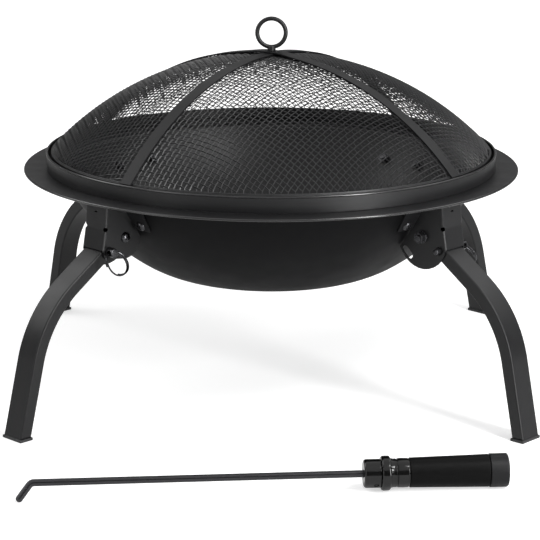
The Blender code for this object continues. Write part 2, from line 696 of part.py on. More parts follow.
def pivot_bolt_mesh():
    """Dome-headed bolt with a cross recess, its head on the right cheek."""
    seat = CHEEK_FACE + TOUCH
    tip = -CHEEK_FACE - TOUCH - PIVOT_WASHER - PIVOT_NUT_HEIGHT - PIVOT_TIP
    head = []
    for i in range(5):
        angle = QUARTER_TURN * i / 4
        head.append((PIVOT_HEAD_RADIUS * math.sin(angle), seat + PIVOT_HEAD_HEIGHT * math.cos(angle)))
    profile = head + [(PIVOT_RADIUS, seat), (PIVOT_RADIUS, tip), (0, tip)]
    bolt = upright_turned(profile, HOLE_STEPS)
    for turn in (0, QUARTER_TURN):
        size = (RECESS_LENGTH, 2 * RECESS_DEPTH, RECESS_WIDTH)
        centre = (0, seat + PIVOT_HEAD_HEIGHT, 0)
        slot = block(size, centre, Matrix.Rotation(turn + math.pi / 4, 4, "Y"))
        bolt = combined(bolt, slot, "DIFFERENCE")
    return bolt


def upright_turned(profile, steps):
    """A profile of (radius, distance along Y) points turned round Y."""
    return upright(turned(profile, steps))


def pivot_nut_mesh():
    """Hexagonal nut with its washer face on the left cheek."""
    hole = PIVOT_RADIUS + HOLE_PLAY
    nut = cylinder(PIVOT_NUT_WIDTH / math.sqrt(3), 0, PIVOT_NUT_HEIGHT + OVERLAP, sides=6)
    bore = cylinder(hole, -OVERLAP, PIVOT_WASHER + PIVOT_NUT_HEIGHT + OVERLAP, sides=HOLE_STEPS)
    washer = cylinder(PIVOT_WASHER_RADIUS, 0, PIVOT_WASHER, sides=HANDLE_STEPS)
    moved(nut, y=PIVOT_WASHER - OVERLAP)
    nut = combined(washer, nut, "UNION")
    nut = combined(nut, bore, "DIFFERENCE")
    nut.transform(Matrix.Rotation(math.pi, 4, "Z"))
    return moved(nut, y=-CHEEK_FACE - TOUCH)


def pin_mesh():
    """Lock pin with an eye across its head, its head on the right cheek."""
    seat = CHEEK_FACE + TOUCH
    tip = -CHEEK_FACE - PIN_TIP
    point = PIN_RADIUS / 3
    profile = [
        (0, seat + PIN_HEAD_LENGTH),
        (PIN_HEAD_RADIUS - point, seat + PIN_HEAD_LENGTH),
        (PIN_HEAD_RADIUS, seat + PIN_HEAD_LENGTH - point),
        (PIN_HEAD_RADIUS, seat),
        (PIN_RADIUS, seat),
        (PIN_RADIUS, tip + point),
        (PIN_RADIUS - point, tip),
        (0, tip),
    ]
    pin = upright_turned(profile, HOLE_STEPS)
    eye = cylinder(PIN_EYE_RADIUS, -2 * PIN_HEAD_RADIUS, 2 * PIN_HEAD_RADIUS, sides=SMALL_HOLE_STEPS)
    eye.transform(Matrix.Rotation(QUARTER_TURN, 4, "Z"))
    return combined(pin, moved(eye, y=eye_y()), "DIFFERENCE")


def eye_y():
    """Where the eye crosses the pin, measured along the pin."""
    return CHEEK_FACE + TOUCH + PIN_HEAD_LENGTH / 2


def ring_points():
    """Centre line of the split ring: two flat turns joined by one short jog."""
    half_pitch = RING_WIRE + WIRE_GAP / 2
    steps = round((4 * math.pi - 2 * RING_JOG) / (2 * math.pi) * RING_POINTS_A_TURN)
    points = []
    for i in range(steps + 1):
        angle = RING_JOG + (4 * math.pi - 2 * RING_JOG) * i / steps
        into_jog = (angle - 2 * math.pi + RING_JOG) / (2 * RING_JOG)
        share = min(max(into_jog, 0), 1)
        side = -half_pitch + 2 * half_pitch * share
        around = RING_SEAM + angle
        points.append((RING_RADIUS * math.cos(around), side, RING_RADIUS * math.sin(around)))
    return points


def ring_mesh():
    """Split ring through the pin's eye, which is at zero, swung out from the cheek."""
    points = ring_points()
    report_least_gap(points)
    mesh = tube(points, RING_WIRE, 1)
    sagitta = RING_RADIUS - math.sqrt(RING_RADIUS**2 - PIN_HEAD_RADIUS**2)
    moved(mesh, z=sagitta / 2 - RING_RADIUS)
    mesh.transform(Matrix.Rotation(RING_SWING, 4, "X"))
    return mesh


def report_least_gap(points):
    """Prints the least gap between stretches of the wire that aren't neighbours."""
    neighbours = RING_POINTS_A_TURN // 2
    least = min(
        (Vector(a) - Vector(b)).length
        for i, a in enumerate(points)
        for b in points[i + neighbours :]
    )
    print(f"split ring: least gap to itself {(least - 2 * RING_WIRE) / MM:.2f} mm")


def ear_bolt_mesh():
    """Round-headed bolt through the ear and the bowl, its head outside."""
    seat = EAR_SEAT_OUTSIDE
    tip = EAR_SEAT_INSIDE - EAR_NUT_HEIGHT - EAR_TIP
    head = []
    for i in range(3):
        angle = QUARTER_TURN * i / 2
        head.append((EAR_HEAD_RADIUS * math.sin(angle), seat + EAR_HEAD_HEIGHT * math.cos(angle)))
    profile = head + [(EAR_BOLT_RADIUS, seat), (EAR_BOLT_RADIUS, tip), (0, tip)]
    return upright_turned(profile, SMALL_HOLE_STEPS)


def ear_nut_mesh():
    """Hexagonal nut on the inside of the bowl."""
    nut = hex_nut(EAR_NUT_WIDTH, EAR_NUT_HEIGHT, EAR_BOLT_RADIUS + HOLE_PLAY)
    return moved(nut, y=EAR_SEAT_INSIDE - EAR_NUT_HEIGHT)


def skirt_profile():
    """Section of the lid's band, a straight sheet with a rolled bead that grips the straps' feet."""
    inner = SKIRT_RADIUS - SKIRT_SHEET
    bead_outside = SKIRT_RADIUS + BEAD_LAP
    centre = (bead_outside - SKIRT_BEAD, SKIRT_TOP - SKIRT_BEAD)
    from_inside = math.pi + math.acos((centre[0] - inner) / SKIRT_BEAD)
    to_outside = -math.acos((SKIRT_RADIUS - centre[0]) / SKIRT_BEAD)
    bead = arc(centre, SKIRT_BEAD, from_inside, to_outside, 5)
    return bead + [(SKIRT_RADIUS, SKIRT_FOOT), (inner, SKIRT_FOOT), bead[0]]


def sphere_through(base_radius, rise):
    """Radius of the sphere whose cap has this base radius and rise."""
    return (base_radius**2 + rise**2) / (2 * rise)


def dome_lattice():
    """Coarse net on the dome: square gaps set as diamonds to the front, each bar a thin wire."""
    ball = sphere_through(MESH_BASE_RADIUS, MESH_RISE)
    centre_z = MESH_TOP - ball
    reach = MESH_BASE_RADIUS + MESH_PITCH
    cells = 2 * math.ceil(reach / MESH_PITCH) + 1
    bm = bmesh.new()
    size = cells * MESH_PITCH / 2
    bmesh.ops.create_grid(bm, x_segments=cells, y_segments=cells, size=size)
    bmesh.ops.rotate(bm, matrix=Matrix.Rotation(MESH_TURN, 3, "Z"), verts=bm.verts)
    beyond = [f for f in bm.faces if min(v.co.xy.length for v in f.verts) > MESH_BASE_RADIUS]
    bmesh.ops.delete(bm, geom=beyond, context="FACES")
    for vert in bm.verts:
        vert.co.z = centre_z + math.sqrt(ball**2 - vert.co.xy.length_squared)
    net = bpy.data.objects.new("net", mesh_from(bm))
    wires = net.modifiers.new("Wireframe", "WIREFRAME")
    wires.thickness = MESH_THICKNESS
    wires.use_even_offset = True
    wires.use_boundary = True
    return settled_mesh(net)


def dome_mesh():
    """Net trimmed to a round edge and joined to its edge band."""
    low = SKIRT_TOP - MESH_BAND_HEIGHT
    high = SKIRT_TOP + MESH_BAND_LAP
    inner = MESH_BASE_RADIUS - MESH_BAND_SHEET
    edge = MESH_BASE_RADIUS - TOUCH
    above = MESH_TOP + MESH_PITCH
    trim = turned([(0, above), (edge, above), (edge, low), (0, low)])
    net = combined(dome_lattice(), trim, "INTERSECT")
    outer = MESH_BASE_RADIUS
    band = turned([(inner, high), (outer, high), (outer, low), (inner, low), (inner, high)])
    return combined(net, band, "UNION")


def strap_path(top, offset, foot_radius):
    """Half of a strap's side view: a foot inside the band, then an arc over the dome."""
    rise = top - SKIRT_TOP
    ball = sphere_through(foot_radius, rise)
    centre = (0.0, top - ball)
    start = math.atan2(SKIRT_TOP - centre[1], foot_radius)
    steps = 14
    over = arc(centre, ball + offset, start, math.pi - start, 2 * steps)
    foot = (foot_radius + offset, SKIRT_TOP - STRAP_TUCK)
    far_foot = (-foot_radius - offset, SKIRT_TOP - STRAP_TUCK)
    return [foot] + over + [far_foot]


def strap_mesh(top):
    """Flat bar bent over the dome, with a hole at its top for the ring's stem."""
    half = STRAP_THICKNESS / 2
    outline = strap_path(top, half, STRAP_FOOT_RADIUS) + strap_path(top, -half, STRAP_FOOT_RADIUS)[::-1]
    body = plate(outline, STRAP_WIDTH)
    drill = cylinder(LIFT_STEM_RADIUS + HOLE_PLAY, -STRAP_WIDTH, STRAP_WIDTH, sides=HOLE_STEPS)
    drill.transform(Matrix.Rotation(QUARTER_TURN, 4, "X"))
    return combined(body, moved(drill, z=top), "DIFFERENCE")


def lift_ring_mesh():
    """Ring with a round shoulder and a stem that passes down through the straps."""
    ring_centre = NECK_FOOT + LIFT_NECK_HEIGHT + LIFT_RING_RADIUS - LIFT_RING_WIRE / 2
    bpy.ops.mesh.primitive_torus_add(
        major_segments=24, minor_segments=8, major_radius=LIFT_RING_RADIUS, minor_radius=LIFT_RING_WIRE
    )
    torus = bpy.context.object
    mesh = torus.data.copy()
    bpy.data.objects.remove(torus)
    mesh.transform(Matrix.Rotation(QUARTER_TURN, 4, "X"))
    moved(mesh, z=ring_centre)
    neck_top = NECK_FOOT + LIFT_NECK_HEIGHT
    stem = turned([
        (0, neck_top), (LIFT_NECK_RADIUS - NECK_SOFT, neck_top), (LIFT_NECK_RADIUS, neck_top - NECK_SOFT),
        (LIFT_NECK_RADIUS, NECK_FOOT), (LIFT_STEM_RADIUS, NECK_FOOT),
        (LIFT_STEM_RADIUS, NECK_FOOT - LIFT_STEM_LENGTH), (0, NECK_FOOT - LIFT_STEM_LENGTH),
    ], HOLE_STEPS)
    return combined(mesh, stem, "UNION")


def lift_nut_mesh():
    """Nut under the dome on the ring's stem."""
    nut = hex_nut(LIFT_NUT_WIDTH, LIFT_NUT_HEIGHT, LIFT_STEM_RADIUS + HOLE_PLAY)
    nut.transform(Matrix.Rotation(QUARTER_TURN, 4, "X"))
    return moved(nut, z=NUT_TOP - LIFT_NUT_HEIGHT)


def make_lid(steel, net, dark):
    lid = add_empty("lid", Matrix(), PIT)
    add_part("lid_band", turned(skirt_profile()), steel, lid)
    add_part("lid_mesh", dome_mesh(), net, lid)
    for name, top, azimuth in zip(("upper_strap", "lower_strap"), STRAP_TOPS, STRAP_AZIMUTHS):
        turn = Matrix.Rotation(azimuth - QUARTER_TURN, 4, "Z")
        add_part(name, strap_mesh(top), steel, lid, turn)
    add_part("lift_ring", lift_ring_mesh(), steel, lid)
    add_part("lift_nut", lift_nut_mesh(), dark, lid)


def leaned(mesh):
    """Moves what is below the pivot sideways, by the hinge's side play, as the load turns the bowl."""
    lean = Matrix()
    lean[1][2] = LEG_LEAN
    mesh.transform(lean)
    return mesh


def make_stations(steel, bright, dark, plastic):
    """Bracket, leg, fasteners, pin and ring at each of the four stations."""
    bracket = bracket_mesh()
    leg = leaned(leg_mesh())
    cap = leaned(cap_mesh())
    bolt = pivot_bolt_mesh()
    nut = pivot_nut_mesh()
    pin = pin_mesh()
    ring = ring_mesh()
    ear_bolt = ear_bolt_mesh()
    ear_nut = ear_nut_mesh()
    for station in STATIONS:
        base = add_empty(f"station_{station}", station_matrix(station), PIT)
        add_part(f"bracket_{station}", bracket, steel, base)
        at_pivot = Matrix.Translation((PIVOT_U, 0, PIVOT_HEIGHT))
        hinge = add_empty(f"hinge_{station}", at_pivot, base)
        add_part(f"leg_{station}", leg, steel, hinge)
        add_part(f"foot_cap_{station}", cap, plastic, hinge)
        add_part(f"pivot_bolt_{station}", bolt, bright, base, at_pivot)
        add_part(f"pivot_nut_{station}", nut, dark, base, at_pivot)
        pin_place = Matrix.Translation((PIN_U, 0, PIN_HEIGHT))
        slide = add_empty(f"pin_slide_{station}", pin_place, base)
        add_part(f"lock_pin_{station}", pin, dark, slide)
        swing = add_empty(f"ring_swing_{station}", Matrix.Translation((0, eye_y(), 0)), slide)
        add_part(f"pin_ring_{station}", ring, bright, swing)
        for side, word in ((-1, "left"), (1, "right")):
            at_ear = ear_matrix(side, 0.0)
            add_part(f"ear_bolt_{station}_{word}", ear_bolt, bright, base, at_ear)
            add_part(f"ear_nut_{station}_{word}", ear_nut, dark, base, at_ear)


def hook_roll():
    """Turn of the hook about the rod at which its tip just meets the ground."""
    drop = HOOK_LENGTH * math.sin(HOOK_BEND)
    return math.acos(min((FLANGE_RADIUS - ROD_RADIUS) / drop, 1))


def rod_points():
    """Centre line of the poker's rod along -X from the ferrule, its hook turned down and forward."""
    tangent = HOOK_BEND_RADIUS * math.tan(HOOK_BEND / 2)
    centre = (-ROD_LENGTH + tangent, -HOOK_BEND_RADIUS)
    bend = arc(centre, HOOK_BEND_RADIUS, QUARTER_TURN, QUARTER_TURN + HOOK_BEND, 6)
    tip = (
        -ROD_LENGTH - HOOK_LENGTH * math.cos(HOOK_BEND),
        -HOOK_LENGTH * math.sin(HOOK_BEND),
    )
    flat = [(ROD_SOCKET, 0.0)] + bend + [tip]
    roll = Matrix.Rotation(-hook_roll(), 3, "X")
    return [roll @ Vector((x, 0, z)) for x, z in flat]


def rod_mesh():
    rod = tube(rod_points(), ROD_RADIUS, 3)
    bm = bmesh.new()
    bmesh.ops.create_uvsphere(bm, u_segments=10, v_segments=6, radius=ROD_RADIUS)
    bmesh.ops.translate(bm, vec=rod_points()[-1], verts=bm.verts)
    return combined(rod, mesh_from(bm), "UNION")


def along_x(mesh):
    """Turns a shape made along +Z so that it runs along +X."""
    mesh.transform(Matrix.Rotation(QUARTER_TURN, 4, "Y"))
    return mesh


def bored(profile, depth_from, depth_to, radius):
    """A turned piece along +X with a bore for what passes into it."""
    body = along_x(turned(profile[::-1], HANDLE_STEPS))
    bore = cylinder(radius, depth_from, depth_to, sides=HOLE_STEPS)
    bore.transform(Matrix.Rotation(-QUARTER_TURN, 4, "Z"))
    return combined(body, bore, "DIFFERENCE")


def ferrule_mesh():
    """Turned ferrule: a plain front, a spigot behind that enters the grip."""
    spigot_radius = FERRULE_RADIUS / 2
    profile = [
        (0, 0), (FERRULE_RADIUS - FERRULE_SOFT, 0),
        (FERRULE_RADIUS, FERRULE_SOFT), (FERRULE_RADIUS, FERRULE_LENGTH),
        (spigot_radius, FERRULE_LENGTH), (spigot_radius, FERRULE_LENGTH + FERRULE_SPIGOT),
        (0, FERRULE_LENGTH + FERRULE_SPIGOT),
    ]
    through = FERRULE_LENGTH + FERRULE_SPIGOT + OVERLAP
    return bored(profile, -OVERLAP, through, ROD_RADIUS + TOUCH)


def grip_profile():
    """Section of the grip: flange, waist, collar, tapered grip and butt, parted by grooves."""
    x = FERRULE_LENGTH + TOUCH
    start = x
    soft = GRIP_SOFT
    points = [(0, x), (FLANGE_RADIUS - soft, x), (FLANGE_RADIUS, x + soft)]
    x += FLANGE_LENGTH
    points += [(FLANGE_RADIUS, x - soft), (FLANGE_RADIUS - soft, x)]
    x += NECK_LENGTH
    points += [(NECK_RADIUS, x - NECK_LENGTH / 2), (NECK_RADIUS, x)]
    points += groove(x, NECK_RADIUS)
    x += GROOVE_WIDTH
    points += [(COLLAR_RADIUS, x), (COLLAR_RADIUS, x + COLLAR_LENGTH)]
    x += COLLAR_LENGTH
    points += groove(x, COLLAR_RADIUS)
    x += GROOVE_WIDTH
    points += [(GRIP_START_RADIUS, x), (GRIP_END_RADIUS, x + GRIP_LENGTH)]
    x += GRIP_LENGTH
    points += groove(x, GRIP_END_RADIUS)
    x += GROOVE_WIDTH
    points += [(BUTT_RADIUS, x), (BUTT_RADIUS, x + BUTT_LENGTH - soft)]
    points += [(BUTT_RADIUS - soft, x + BUTT_LENGTH)]
    x += BUTT_LENGTH
    points += [(0, x + BUTT_CROWN)]
    return points, start


def groove(x, radius):
    """The floor of a square groove that starts at x on a part of this radius."""
    return [(radius - GROOVE_DEPTH, x), (radius - GROOVE_DEPTH, x + GROOVE_WIDTH)]


def grip_mesh():
    profile, start = grip_profile()
    socket = FERRULE_SPIGOT + TOUCH
    body = bored(profile, start - OVERLAP, start + socket, FERRULE_RADIUS / 2 + TOUCH)
    rod_bore = cylinder(ROD_RADIUS + TOUCH, start, ROD_SOCKET + TOUCH, sides=HOLE_STEPS)
    rod_bore.transform(Matrix.Rotation(-QUARTER_TURN, 4, "Z"))
    return combined(body, rod_bore, "DIFFERENCE")


def make_poker(bright, gloss, satin):
    """Poker lying in front, on its flange and on the tip of its hook."""
    turn = Matrix.Rotation(POKER_YAW, 4, "Z")
    tip = turn @ rod_points()[-1].to_4d()
    place = Matrix.Translation((POKER_TIP_X - tip.x, ROD_RADIUS - SET_FRONT - tip.y, FLANGE_RADIUS))
    poker = add_empty("poker", place @ turn, PIT)
    add_part("poker_rod", rod_mesh(), bright, poker)
    add_part("poker_ferrule", ferrule_mesh(), gloss, poker)
    add_part("poker_grip", grip_mesh(), satin, poker)


clear_scene()
PARTS = new_collection("fire_pit")
CUTTERS = new_collection("cutters")
PIT = add_empty("bowl_axis", Matrix.Translation((0, BOWL_AXIS_Y, 0)))
POWDER_COAT = new_material("black powder-coated steel", (0.024, 0.024, 0.026), 0.42, 0.0)
PAINTED_WIRE = new_material("black painted wire", (0.03, 0.03, 0.03), 0.45, 0.3)
BLACK_ZINC = new_material("black zinc-plated steel", (0.05, 0.05, 0.052), 0.28, 0.9)
BARE_STEEL = new_material("dark oiled steel", (0.12, 0.12, 0.125), 0.3, 1.0)
FOOT_PLASTIC = new_material("black moulded polyethylene", (0.02, 0.02, 0.02), 0.5, 0.0)
GLOSS_BLACK = new_material("gloss black enamel", (0.01, 0.01, 0.01), 0.15, 0.0)
SATIN_BLACK = new_material("satin black painted wood", (0.02, 0.02, 0.02), 0.4, 0.0)
make_bowl(POWDER_COAT)
make_lid(POWDER_COAT, PAINTED_WIRE, BLACK_ZINC)
make_stations(POWDER_COAT, BARE_STEEL, BLACK_ZINC, FOOT_PLASTIC)
make_poker(BARE_STEEL, GLOSS_BLACK, SATIN_BLACK)
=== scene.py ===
"""Visual model of a portable fire pit, laid out as a Blender add-on and run as a script."""

import json
import math

import bmesh
import bpy
from bpy.props import FloatProperty, FloatVectorProperty, PointerProperty
from mathutils import Matrix, Vector


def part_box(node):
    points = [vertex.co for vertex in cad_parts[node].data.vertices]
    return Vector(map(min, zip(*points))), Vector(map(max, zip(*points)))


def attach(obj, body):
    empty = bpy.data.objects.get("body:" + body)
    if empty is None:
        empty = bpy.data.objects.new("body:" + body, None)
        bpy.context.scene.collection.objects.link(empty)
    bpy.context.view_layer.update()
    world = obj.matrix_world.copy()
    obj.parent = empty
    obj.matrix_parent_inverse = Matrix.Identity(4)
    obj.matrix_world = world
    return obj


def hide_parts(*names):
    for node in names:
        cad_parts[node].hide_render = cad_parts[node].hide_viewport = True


bl_info = {
    "name": "Fire pit",
    "version": (1, 0, 0),
    "blender": (4, 5, 0),
    "location": "View3D > Sidebar > Fire pit",
    "description": "Builds a portable fire pit with a spark screen, folding legs and a poker",
    "category": "Add Mesh",
}

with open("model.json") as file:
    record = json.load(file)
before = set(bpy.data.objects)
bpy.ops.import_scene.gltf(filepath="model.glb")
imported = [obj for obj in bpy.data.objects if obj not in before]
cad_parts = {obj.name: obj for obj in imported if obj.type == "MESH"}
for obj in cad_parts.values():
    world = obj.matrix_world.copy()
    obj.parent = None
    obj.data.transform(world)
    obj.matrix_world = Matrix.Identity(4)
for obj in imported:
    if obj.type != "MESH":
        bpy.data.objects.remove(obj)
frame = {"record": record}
MM = 0.001
QUARTER = math.pi / 2
# Points closer together than this are merged.
SAME_POINT = 0.002 * MM
# Faces that meet at less than this are one flat face.
SAME_FACE = math.radians(0.6)
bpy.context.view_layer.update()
BAND_LOW, BAND_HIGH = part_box("lid_band")
BOWL_LOW, BOWL_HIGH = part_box("bowl")
PIT_AXIS = Vector(((BAND_LOW.x + BAND_HIGH.x) / 2, (BAND_LOW.y + BAND_HIGH.y) / 2, 0))
ON_AXIS = Matrix.Translation(PIT_AXIS)
BAND_TOP = BAND_HIGH.z
RIM_TOP = BOWL_HIGH.z
RIM_RADIUS = (BOWL_HIGH.x - BOWL_LOW.x) / 2
JOINTS = {joint["name"]: joint for joint in frame["record"]["behaviour"]["joints"]}
STATIONS = [name.removeprefix("leg_fold_") for name in JOINTS if name.startswith("leg_fold_")]


def linear(hex_colour):
    """Linear RGBA of an sRGB hex colour."""
    values = [int(hex_colour[i : i + 2], 16) / 255 for i in (1, 3, 5)]
    return (*(v / 12.92 if v <= 0.04045 else ((v + 0.055) / 1.055) ** 2.4 for v in values), 1.0)


def colour_prop(name, description, hex_colour):
    return FloatVectorProperty(
        name=name, description=description, subtype="COLOR", size=4, min=0, max=1, default=linear(hex_colour)
    )


def length_prop(name, description, millimetres):
    return FloatProperty(
        name=name, description=description, unit="LENGTH", subtype="DISTANCE", default=millimetres * MM
    )


class FirePitSizes(bpy.types.PropertyGroup):
    """Sizes a user may change without moving anything off its CAD node."""

    # The real wire is about 0.7 mm thick. It is drawn thicker, because less doesn't show.
    wire: length_prop("Screen wire", "Thickness of the woven wire", 1.15)
    mesh_pitch: length_prop("Screen pitch", "Distance between the woven wires", 6.0)
    edge: length_prop("Edge rounding", "Rounding of the cut sheet's edges under the coating", 0.35)
    # The real grain is about 0.3 mm wide, too fine to show, so it is drawn coarser.
    grain: length_prop("Coating grain", "Width of one dimple of the powder coating", 1.4)


class FirePitColours(bpy.types.PropertyGroup):
    """Colours of the finishes."""

    coat: colour_prop("Powder coat", "Satin black polyester powder coat", "#161617")
    # The bowl outside's darker colour is painted shade for its downward faces.
    outside: colour_prop("Bowl outside", "Matt black powder coat with painted shade", "#0b0b0c")
    wire: colour_prop("Screen wire", "Black painted steel wire", "#1a1a1b")
    zinc: colour_prop("Black zinc", "Black zinc plating on nuts and pins", "#424244")
    bolt: colour_prop("Bolt steel", "Dark nickel plating on bolts and split rings", "#48484a")
    cap: colour_prop("Foot cap", "Black moulded polyethylene", "#212122")
    rod: colour_prop("Poker rod", "Black oxide on drawn steel rod", "#3e3e40")
    ferrule: colour_prop("Ferrule", "Gloss black enamel", "#070707")
    grip: colour_prop("Grip", "Satin black lacquer on turned wood", "#080808")
    floor: colour_prop("Floor", "Pale studio floor", "#e8e8e8")


def sizes():
    return bpy.context.scene.fire_pit_sizes


def colours():
    return bpy.context.scene.fire_pit_colours


def joint_point(name):
    return Vector(JOINTS[name]["pos_m"])


def station_frame(station, point=PIT_AXIS):
    """Frame of a leg station at a point: X out along the leg, Y to the right seen from outside."""
    along = Vector(JOINTS[f"leg_fold_{station}"]["axis"])
    out = Vector((along.y, -along.x, 0))
    turn = Matrix((out, along, (0, 0, 1))).transposed().to_4x4()
    return Matrix.Translation(point) @ turn


# Shapes


def arc(centre, radius, start, end, steps):
    """Points of an arc in a plane, ends included."""
    angles = [start + (end - start) * i / steps for i in range(steps + 1)]
    return [(centre[0] + radius * math.cos(a), centre[1] + radius * math.sin(a)) for a in angles]


def mesh_of(bm, name="shape"):
    """The mesh of a bmesh, which is freed."""
    mesh = bpy.data.meshes.new(name)
    bm.to_mesh(mesh)
    bm.free()
    return mesh


def faced_out(bm):
    """The mesh of a bmesh with its normals turned outwards."""
    bmesh.ops.recalc_face_normals(bm, faces=bm.faces)
    return mesh_of(bm)


def full_spin(bm, geom, axis, steps):
    """Spins a line once round an axis through zero."""
    bmesh.ops.spin(
        bm, geom=geom, cent=(0, 0, 0), axis=axis, angle=2 * math.pi, steps=steps, use_merge=True
    )


def turned(profile, steps):
    """A line of (radius, height) points spun round Z."""
    bm = bmesh.new()
    verts = [bm.verts.new((r, 0, z)) for r, z in profile]
    edges = [bm.edges.new(pair) for pair in zip(verts, verts[1:])]
    full_spin(bm, verts + edges, (0, 0, 1), steps)
    bmesh.ops.remove_doubles(bm, verts=bm.verts, dist=SAME_POINT)
    return faced_out(bm)


def turned_along_y(profile, steps):
    """A profile spun round Z and laid down so that its heights run along +Y."""
    mesh = turned(profile, steps)
    mesh.transform(Matrix.Rotation(-QUARTER, 4, "X"))
    return mesh


def linked(name, data):
    """A new object in the scene."""
    obj = bpy.data.objects.new(name, data)
    bpy.context.scene.collection.objects.link(obj)
    return obj


def settled(obj):
    """The evaluated mesh of a working object, which is removed."""
    graph = bpy.context.evaluated_depsgraph_get()
    mesh = bpy.data.meshes.new_from_object(obj.evaluated_get(graph))
    bpy.data.objects.remove(obj)
    return mesh


def plate(outline, width, corner, corner_steps):
    """A side view in the XZ plane made width thick along Y, with its long edges rounded."""
    curve = bpy.data.curves.new("outline", "CURVE")
    curve.dimensions = "2D"
    curve.fill_mode = "BOTH"
    curve.extrude = width / 2 - corner
    curve.bevel_depth = corner
    curve.bevel_resolution = corner_steps
    curve.offset = -corner
    spline = curve.splines.new("POLY")
    spline.points.add(len(outline) - 1)
    for point, (x, z) in zip(spline.points, outline):
        point.co = (x, z, 0, 1)
    spline.use_cyclic_u = True
    mesh = settled(linked("outline", curve))
    mesh.transform(Matrix.Rotation(QUARTER, 4, "X"))
    bm = bmesh.new()
    bm.from_mesh(mesh)
    bmesh.ops.remove_doubles(bm, verts=bm.verts, dist=SAME_POINT)
    return faced_out(bm)


def wires(lines, radius, round_steps):
    """Round wires along lines of points, as one mesh."""
    curve = bpy.data.curves.new("wire", "CURVE")
    curve.dimensions = "3D"
    curve.bevel_depth = radius
    curve.bevel_resolution = round_steps
    curve.use_fill_caps = True
    for line in lines:
        spline = curve.splines.new("POLY")
        spline.points.add(len(line) - 1)
        for point, place in zip(spline.points, line):
            point.co = (*place, 1)
    return settled(linked("wire", curve))


def cut(base, tool, operation="DIFFERENCE"):
    """One mesh cut by, or joined to, another."""
    first = linked("base", base)
    second = linked("tool", tool)
    modifier = first.modifiers.new("Boolean", "BOOLEAN")
    modifier.operation = operation
    modifier.solver = "EXACT"
    modifier.object = second
    mesh = settled(first)
    bpy.data.objects.remove(second)
    return mesh


def bar(size, centre, turn):
    """A box with its centre at a point, turned about Y."""
    bm = bmesh.new()
    bmesh.ops.create_cube(bm, size=1.0)
    bmesh.ops.scale(bm, vec=size, verts=bm.verts)
    bmesh.ops.rotate(bm, matrix=Matrix.Rotation(turn, 3, "Y"), verts=bm.verts)
    bmesh.ops.translate(bm, vec=centre, verts=bm.verts)
    return faced_out(bm)


def rod_along_y(radius, start, end, sides=32):
    return turned_along_y([(0, start), (radius, start), (radius, end), (0, end)], sides)


def joined(*meshes):
    """Several meshes as one."""
    bm = bmesh.new()
    for mesh in meshes:
        bm.from_mesh(mesh)
    return mesh_of(bm)


def cad_copy(node):
    """A merged copy of a CAD node's mesh, its flat faces whole again."""
    bm = bmesh.new()
    bm.from_mesh(bpy.data.objects[node].data)
    bmesh.ops.remove_doubles(bm, verts=bm.verts, dist=SAME_POINT)
    bmesh.ops.dissolve_limit(bm, angle_limit=SAME_FACE, verts=bm.verts, edges=bm.edges)
    return mesh_of(bm, node)


def piece(name, mesh, material, body, nodes, matrix=None, edge=0.0, sharp=35):
    """A finished piece in its place, riding on its body and standing for its CAD nodes."""
    if matrix is not None:
        mesh = mesh.copy()
        mesh.transform(matrix)
    obj = linked(name, mesh)
    mesh.materials.clear()
    mesh.materials.append(material)
    mesh.shade_smooth()
    mesh.set_sharp_from_angle(angle=math.radians(sharp))
    if edge:
        bevel = obj.modifiers.new("Rounded edges", "BEVEL")
        bevel.width = edge
        bevel.segments = 2
        bevel.limit_method = "ANGLE"
        bevel.angle_limit = math.radians(sharp)
    shading = obj.modifiers.new("Flat faces stay flat", "WEIGHTED_NORMAL")
    shading.keep_sharp = True
    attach(obj, body)
    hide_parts(*nodes)
    return obj


# Finishes


def add_node(tree, kind, links=None, **settings):
    """Adds a node, sets its sockets and attributes, and links sockets to outputs of other nodes."""
    node = tree.nodes.new(kind)
    for key, value in settings.items():
        if key in node.inputs:
            node.inputs[key].default_value = value
        else:
            setattr(node, key, value)
    for key, source in (links or {}).items():
        tree.links.new(source, node.inputs[key])
    return node


def new_finish(name, colour, **settings):
    """A material with its Principled shader's uniform values set on the sockets."""
    material = bpy.data.materials.get(name)
    if material:
        return material, None, None
    material = bpy.data.materials.new(name)
    material.use_nodes = True
    shader = material.node_tree.nodes["Principled BSDF"]
    shader.inputs["Base Color"].default_value = colour
    for key, value in settings.items():
        shader.inputs[key.replace("_", " ")].default_value = value
    return material, material.node_tree, shader


def noise(tree, millimetres, detail=2.0, stretch=None):
    """Noise on Object coordinates whose marks are this many millimetres wide."""
    place = add_node(tree, "ShaderNodeTexCoord").outputs["Object"]
    if stretch:
        place = add_node(tree, "ShaderNodeMapping", {"Vector": place}, Scale=stretch).outputs["Vector"]
    scale = 1 / (millimetres * MM)
    return add_node(tree, "ShaderNodeTexNoise", {"Vector": place}, Scale=scale, Detail=detail).outputs["Fac"]


def spread(tree, value, low, high, start=0.3, end=0.7):
    """Maps a value to a range."""
    node = add_node(tree, "ShaderNodeMapRange", {"Value": value})
    sockets = {"From Min": start, "From Max": end, "To Min": low, "To Max": high}
    for key, number in sockets.items():
        node.inputs[key].default_value = number
    return node.outputs["Result"]


def roughen(tree, shader, value, low, high):
    """Lets the roughness drift between two values."""
    tree.links.new(spread(tree, value, low, high), shader.inputs["Roughness"])


def tint(tree, shader, value, colour, darker, lighter):
    """Varies the base colour between a darker and a lighter share of itself."""
    ramp = add_node(tree, "ShaderNodeValToRGB", {"Fac": value})
    for element, share in zip(ramp.color_ramp.elements, (darker, lighter)):
        element.color = (*(c * share for c in colour[:3]), 1.0)
    tree.links.new(ramp.outputs["Color"], shader.inputs["Base Color"])


def dimple(tree, shader, value, depth, strength):
    bump = add_node(tree, "ShaderNodeBump", {"Height": value}, Distance=depth, Strength=strength)
    tree.links.new(bump.outputs["Normal"], shader.inputs["Normal"])


